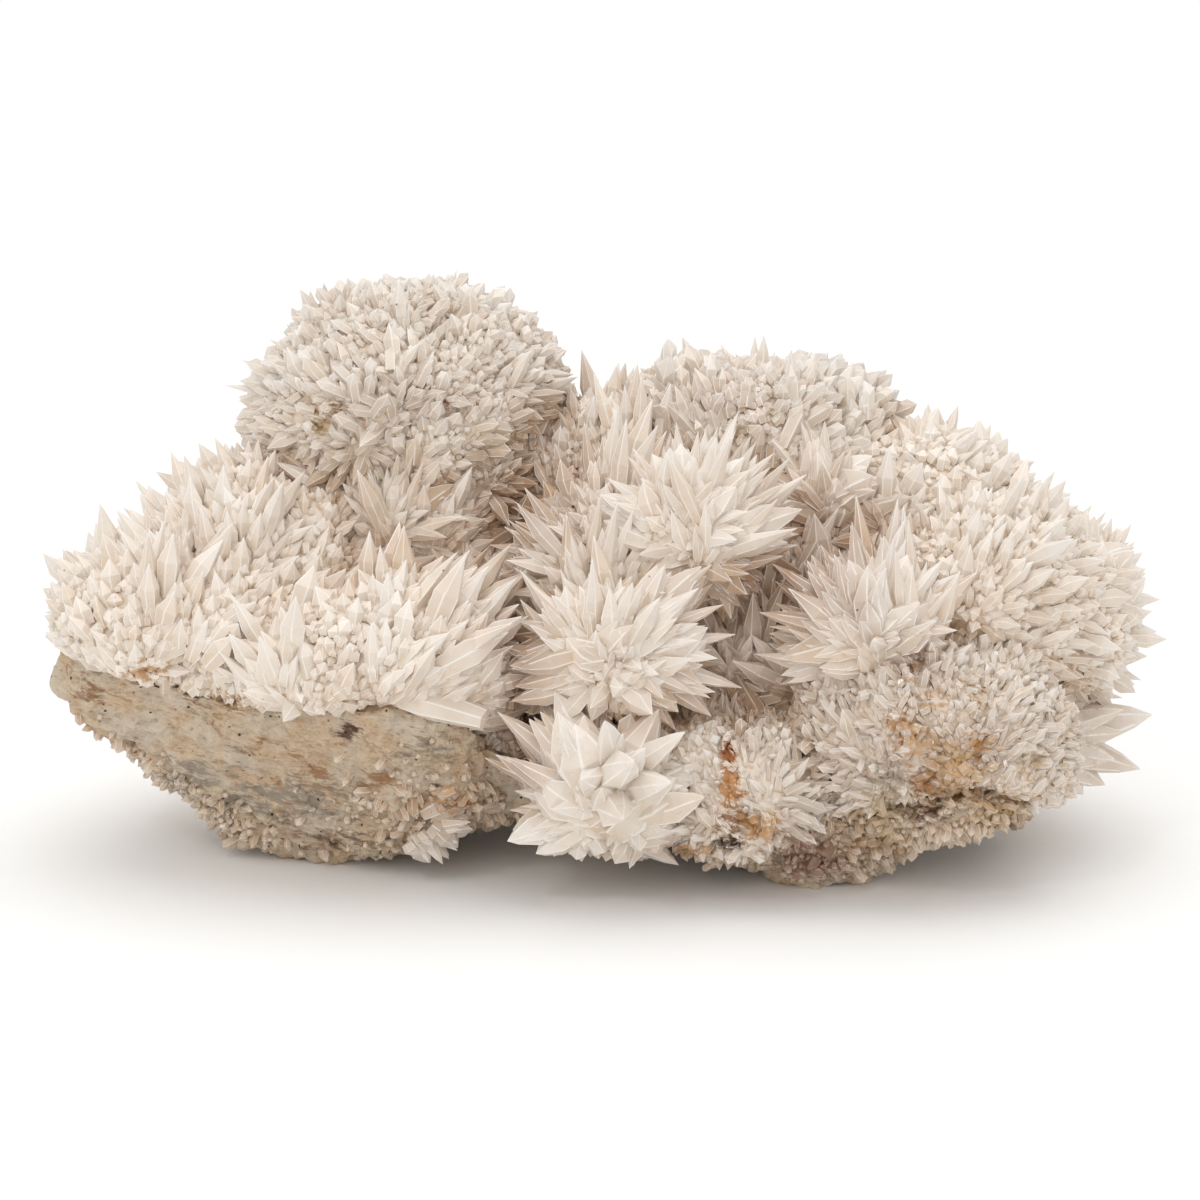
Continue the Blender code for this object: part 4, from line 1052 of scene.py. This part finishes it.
def calciteFinish(name, look):
    # milky calcite: smooth cleavage-like faces over a cloudy body, with a painted highlight along the ridges,
    # paler towards the tip and painted shade towards the root
    material = bpy.data.materials.new(name)
    material.use_nodes = True
    tree = material.node_tree
    shader = tree.nodes["Principled BSDF"]
    place = addNode(tree, "ShaderNodeTexCoord").outputs["Object"]
    cloud = addNode(tree, "ShaderNodeTexNoise", {
        "Vector": place, "Scale": 1 / (look["cloudSize"] * mm), "Detail": 3.0}).outputs[0]
    if look["facets"]:
        # the facet map gives the place across a facet and along the crystal
        facet = addNode(tree, "ShaderNodeUVMap", uv_map="facet").outputs[0]
        parts = addNode(tree, "ShaderNodeSeparateXYZ", {0: facet}).outputs
        along = parts[1]
        across = addNode(tree, "ShaderNodeMath", {0: parts[0], 1: 0.5}, operation="SUBTRACT").outputs[0]
        across = addNode(tree, "ShaderNodeMath", {0: across}, operation="ABSOLUTE").outputs[0]
        # root to tip, with painted shade at the root
        colour = addNode(tree, "ShaderNodeValToRGB", {0: along}, look["colours"]).outputs[0]
        tone = addNode(tree, "ShaderNodeAttribute", attribute_name="tone").outputs["Fac"]
        tint = addNode(tree, "ShaderNodeValToRGB", {0: tone}, look["tones"]).outputs[0]
        colour = addNode(tree, "ShaderNodeMix", {0: 1.0, 6: colour, 7: tint},
                         data_type="RGBA", blend_type="MULTIPLY").outputs[2]
    else:
        along = addNode(tree, "ShaderNodeMapRange", {
            "Value": cloud, "From Min": 0.2, "From Max": 0.8, "To Max": 0.5}).outputs[0]
        colour = addNode(tree, "ShaderNodeValToRGB", {0: along}, look["colours"]).outputs[0]
    colour = layOver(tree, colour, linear(look["cloudColour"]), cloud, 0.35, 0.7, look["cloud"])

    # painted shade: warmer and darker in cavities, by how much of the sky is closed off; and warmer in random
    # drifts
    cavity = addNode(tree, "ShaderNodeAttribute", attribute_name="cavity").outputs["Fac"]
    closed = addNode(tree, "ShaderNodeMapRange", {
        "Value": cavity, "From Min": cavityLook["fromShare"], "From Max": cavityLook["toShare"]}).outputs[0]
    drift = addNode(tree, "ShaderNodeTexNoise", {
        "Vector": place, "Scale": 1 / (look["driftSize"] * mm), "Detail": 2.0}).outputs[0]
    leastDrift, mostDrift = look["drift"]
    drift = addNode(tree, "ShaderNodeMapRange", {
        "Value": drift, "From Min": 0.35, "From Max": 0.7,
        "To Min": leastDrift, "To Max": mostDrift}).outputs[0]
    shadeAndDrift = addNode(tree, "ShaderNodeMath", {0: closed, 1: drift}, operation="ADD").outputs[0]
    colour = layOver(tree, colour, linear(look["shadeAndDrift"]), shadeAndDrift, 0.0, 1.0, look["shadeAndDriftMost"])
    # painted shade in the hollows between the lobes, partly iron stain
    deep = addNode(tree, "ShaderNodeAttribute", attribute_name="hollowShade").outputs["Fac"]
    colour = layOver(tree, colour, linear(look["hollowShade"]), deep, 0.0, 1.0, look["hollowShadeMost"])
    # painted highlight along the ridges
    if look["facets"]:
        colour = layOver(tree, colour, linear(look["edge"]), across, look["ridge"], 0.5)
    colour = stained(tree, colour, place, look)
    tree.links.new(colour, shader.inputs["Base Color"])

    smooth, rough = look["roughness"]
    rough = addNode(tree, "ShaderNodeMapRange", {
        "Value": cloud, "From Min": 0.3, "From Max": 0.75, "To Min": smooth, "To Max": rough}).outputs[0]
    tree.links.new(rough, shader.inputs["Roughness"])
    shader.inputs["IOR"].default_value = look["ior"]
    shader.inputs["Transmission Weight"].default_value = look["clear"]
    frost = addNode(tree, "ShaderNodeTexNoise", {
        "Vector": place, "Scale": 1 / (look["frost"] * mm), "Detail": 2.0}).outputs[0]
    bump = addNode(tree, "ShaderNodeBump", {
        "Height": frost, "Strength": look["frostDepth"], "Distance": 0.1 * mm})
    if look["facets"]:
        # light spreads inside milky crystal, so its faces differ little in shade: each takes on some of the
        # shading of a face that looks along the crystal
        axis = addNode(tree, "ShaderNodeAttribute", attribute_name="axis").outputs["Vector"]
        axis = addNode(tree, "ShaderNodeVectorMath", {
            0: axis, "Scale": look["glow"]}, operation="SCALE").outputs[0]
        own = addNode(tree, "ShaderNodeNewGeometry").outputs["Normal"]
        both = addNode(tree, "ShaderNodeVectorMath", {0: own, 1: axis}, operation="ADD").outputs[0]
        both = addNode(tree, "ShaderNodeVectorMath", {0: both}, operation="NORMALIZE").outputs[0]
        tree.links.new(both, bump.inputs["Normal"])
    tree.links.new(bump.outputs[0], shader.inputs["Normal"])
    print("material", name)
    return material


milkyLook = dict(
    facets=True,
    colours=((0.0, "#E3D0BA"), (0.25, "#E9DAC8"), (0.55, "#ECE1D4"), (1.0, "#F0E7DE")),   # root to tip: paler towards the tip, and darker at the root as painted shade where the crystals crowd
    tones=((0.0, "#F8F0E6"), (0.5, "#FFFFFF"), (1.0, "#FBF9F6")),       # from crystal to crystal
    edge="#FCF7F0",        # painted highlight along the ridges, where light comes through the thin edges
    ridge=0.38,            # the painted highlight starts this far from the middle of a facet, whose rim is at 0.5
    cloudSize=3.5,         # clouds in the crystal
    cloud=0.35,
    cloudColour="#F7F1EA",
    shadeAndDrift="#C7A37D",        # painted shade in cavities, and random warm drifts
    shadeAndDriftMost=0.8,
    driftSize=14,
    drift=(-0.15, 0.38),
    hollowShade="#9A6E48",      # painted shade in the hollows between the lobes, partly iron-stain brown
    hollowShadeMost=0.8,
    roughness=(0.22, 0.5),
    ior=1.6,               # calcite bends light by 1.49 to 1.66
    clear=0.0,             # share of the light that goes through
    glow=0.5,              # how far a facet's shading leans towards that of the whole crystal
    frost=0.9,
    frostDepth=0.1,
    stainGrain=(3, 2.4, 1.4),
    stainEdge=(0.98, 1.25),
    speck="#4A382C",
    speckGap=3.2,
    speckSize=0.1,         # as a share of the gap
    speckRare=0.05,        # this share of the places has one
)
# the short crystals: clearer and smoother
glassyLook = dict(milkyLook, clear=0.08, roughness=(0.05, 0.35), ridge=0.36, frostDepth=0.15)
# the grains on the crust: a little clearer still, and tan with clay
sandyLook = dict(
    glassyLook,
    # root to tip: tan with clay, and darker at the root as painted shade
    colours=((0.0, "#BE9A78"), (0.3, "#CFB294"), (0.6, "#DCC7AE"), (1.0, "#E6D7C5")),
    # painted highlight along their ridges
    edge="#F4EADE",
    cloudColour="#E3D2BC",
    clear=0.1,
)
# the skin between the crystals: no facets, and more frosted
bodyLook = dict(milkyLook, facets=False, frost=1.6, frostDepth=0.8)

tanCrustLook = dict(
    streak=(6.5, 5, 2.0),                             # size of its streaks along, into and across the layers
    layers=((0.3, "#A9835F"), (0.42, "#CFAE8A"), (0.5, "#E1CBAE"), (0.6, "#D8B690"), (0.72, "#EEE2D0")),
    patchSize=9,
    pale=("#DED2C0", 0.42, 0.62, 0.75),               # pale patches: colour, start, full and most
    pit=("#6E4C33", 0.42, 0.3, 0.9),                  # dark pits, where the grit is low
    grain=("#F2EADF", 0.56, 0.7, 0.6),                # pale grains, where it is high
    gritFine=3.0,                                     # the grit is this many times finer than the streaks
    roughness=0.8,
    relief=1.0,
    stainGrain=(6, 4, 1.6),
    stainEdge=(0.98, 1.25),
    speck="#3B2A20",
    speckGap=1.9,
    speckSize=0.24,
    speckRare=0.16,
)


def crustFinish(name, look):
    # layered tan crust: limestone and clay in thin bands, pitted, stained by iron, matt and gritty
    material = bpy.data.materials.new(name)
    material.use_nodes = True
    tree = material.node_tree
    shader = tree.nodes["Principled BSDF"]
    place = addNode(tree, "ShaderNodeTexCoord").outputs["Object"]
    drawn = addNode(tree, "ShaderNodeMapping", {
        "Vector": place, "Rotation": layering, "Scale": [s * mm for s in look["streak"]]},
        vector_type="TEXTURE").outputs[0]
    layers = addNode(tree, "ShaderNodeTexNoise", {
        "Vector": drawn, "Scale": 1.0, "Detail": 6.0, "Roughness": 0.65, "Distortion": 1.2}).outputs[0]
    patch = addNode(tree, "ShaderNodeTexNoise", {
        "Vector": place, "Scale": 1 / (look["patchSize"] * mm), "Detail": 3.0}).outputs[0]
    grit = addNode(tree, "ShaderNodeTexNoise", {
        "Vector": drawn, "Scale": look["gritFine"], "Detail": 5.0, "Roughness": 0.75}).outputs[0]
    colour = addNode(tree, "ShaderNodeValToRGB", {0: layers}, look["layers"]).outputs[0]
    for amount, (tint, *bounds) in ((patch, look["pale"]), (grit, look["pit"]), (grit, look["grain"])):
        colour = layOver(tree, colour, linear(tint), amount, *bounds)
    colour = stained(tree, colour, place, look)
    tree.links.new(colour, shader.inputs["Base Color"])
    shader.inputs["Roughness"].default_value = look["roughness"]
    both = addNode(tree, "ShaderNodeMath", {0: layers, 1: grit}, operation="ADD").outputs[0]
    bump = addNode(tree, "ShaderNodeBump", {"Height": both, "Strength": 0.9, "Distance": look["relief"] * mm})
    tree.links.new(bump.outputs[0], shader.inputs["Normal"])
    print("material", name)
    return material


# build

milky = calciteFinish("milkyCalcite", milkyLook)
glassy = calciteFinish("glassyCalcite", glassyLook)
body = calciteFinish("grownTogetherCalcite", bodyLook)
sandy = calciteFinish("stainedCalcite", sandyLook)
tanCrust = crustFinish("tanCrust", tanCrustLook)

skin = buildSkin()
markSkin(skin)
markCavities(skin)
grow = druseTree()
forms = {habit: buildForms(habit) for habit in habits}
druses = []
for name, look in druseLooks.items():
    finish = milky if grades[look["grade"]]["habit"] == "spears" else glassy
    druses.append(growDruse(name, skin, grow, forms, finish, look))
crust = buildCrust(tanCrust)
markCrust(crust)
markCavities(crust)
druses.append(growDruse("crustGrains", crust, grow, forms, sandy, crustGrainsLook))
sprayPieces = buildSprays(skin, milky)

# clear away the forms, and what the grounds said about their crystals
for collection in forms.values():
    for obj in list(collection.objects):
        bpy.data.objects.remove(obj, do_unlink=True)
    bpy.data.collections.remove(collection)
for ground in (skin, crust):
    for left in ("growth", "reach", "girth", *habits):
        ground.data.attributes.remove(ground.data.attributes[left])
skin.data.materials.clear()
skin.data.materials.append(body)
for piece in [skin, *druses, *sprayPieces, crust]:
    paintStains(piece.data)
print("stains:", len(stains), "and", len(shadedHollows), "shadedHollows")

for piece in [skin, *druses, *sprayPieces]:
    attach(piece, "root")
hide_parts("crystals")
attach(crust, "root")
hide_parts("matrix")


# floor, light and camera

def buildStudio():
    # a large paper floor, with the object at its middle
    mesh = bpy.data.meshes.new("floor")
    mesh.from_pydata([(-4, -4, 0), (4, -4, 0), (4, 4, 0), (-4, 4, 0)], [], [(0, 1, 2, 3)])
    floor = addObject("floor", mesh)
    paper = bpy.data.materials.new("palePaper")
    paper.use_nodes = True
    shader = paper.node_tree.nodes["Principled BSDF"]
    shader.inputs["Base Color"].default_value = linear(studio["floor"])
    shader.inputs["Roughness"].default_value = 0.9
    mesh.materials.append(paper)
    world = bpy.data.worlds.new("studio")
    bpy.context.scene.world = world
    world.use_nodes = True
    background = world.node_tree.nodes["Background"]
    background.inputs["Color"].default_value = (1, 1, 1, 1)
    seen = addNode(world.node_tree, "ShaderNodeLightPath").outputs["Is Camera Ray"]
    strength = addNode(world.node_tree, "ShaderNodeMapRange", {
        "Value": seen, "To Min": studio["world"], "To Max": 1.0}).outputs[0]
    world.node_tree.links.new(strength, background.inputs["Strength"])
    for name in ("overhead", "front", "glint"):
        look = studio[name]
        light = bpy.data.lights.new(name, look["kind"])
        if look["kind"] == "SUN":
            light.angle = look["size"]
        else:
            light.shape = "DISK"
            light.size = look["size"]
        light.energy = look["power"]
        lamp = bpy.data.objects.new(name, light)
        bpy.context.scene.collection.objects.link(lamp)
        lamp.location = look["place"]
        lamp.rotation_euler = (Vector(studio["aim"]) - lamp.location).to_track_quat("-Z", "Y").to_euler()
    camera = bpy.data.objects.new("camera", bpy.data.cameras.new("camera"))
    bpy.context.scene.collection.objects.link(camera)
    camera.data.lens = studio["lens"]
    up = math.radians(studio["above"])
    back = Vector((0, -math.cos(up), math.sin(up)))
    camera.location = Vector(studio["look"]) + back * studio["away"]
    camera.rotation_euler = (-back).to_track_quat("-Z", "Y").to_euler()
    camera.data.clip_start = 0.01
    bpy.context.scene.camera = camera
    bpy.context.scene.view_settings.view_transform = "Standard"
    bpy.context.scene.cycles.diffuse_bounces = studio["bounces"]
    print("studio: floor, world, three lamps and the camera")


buildStudio()
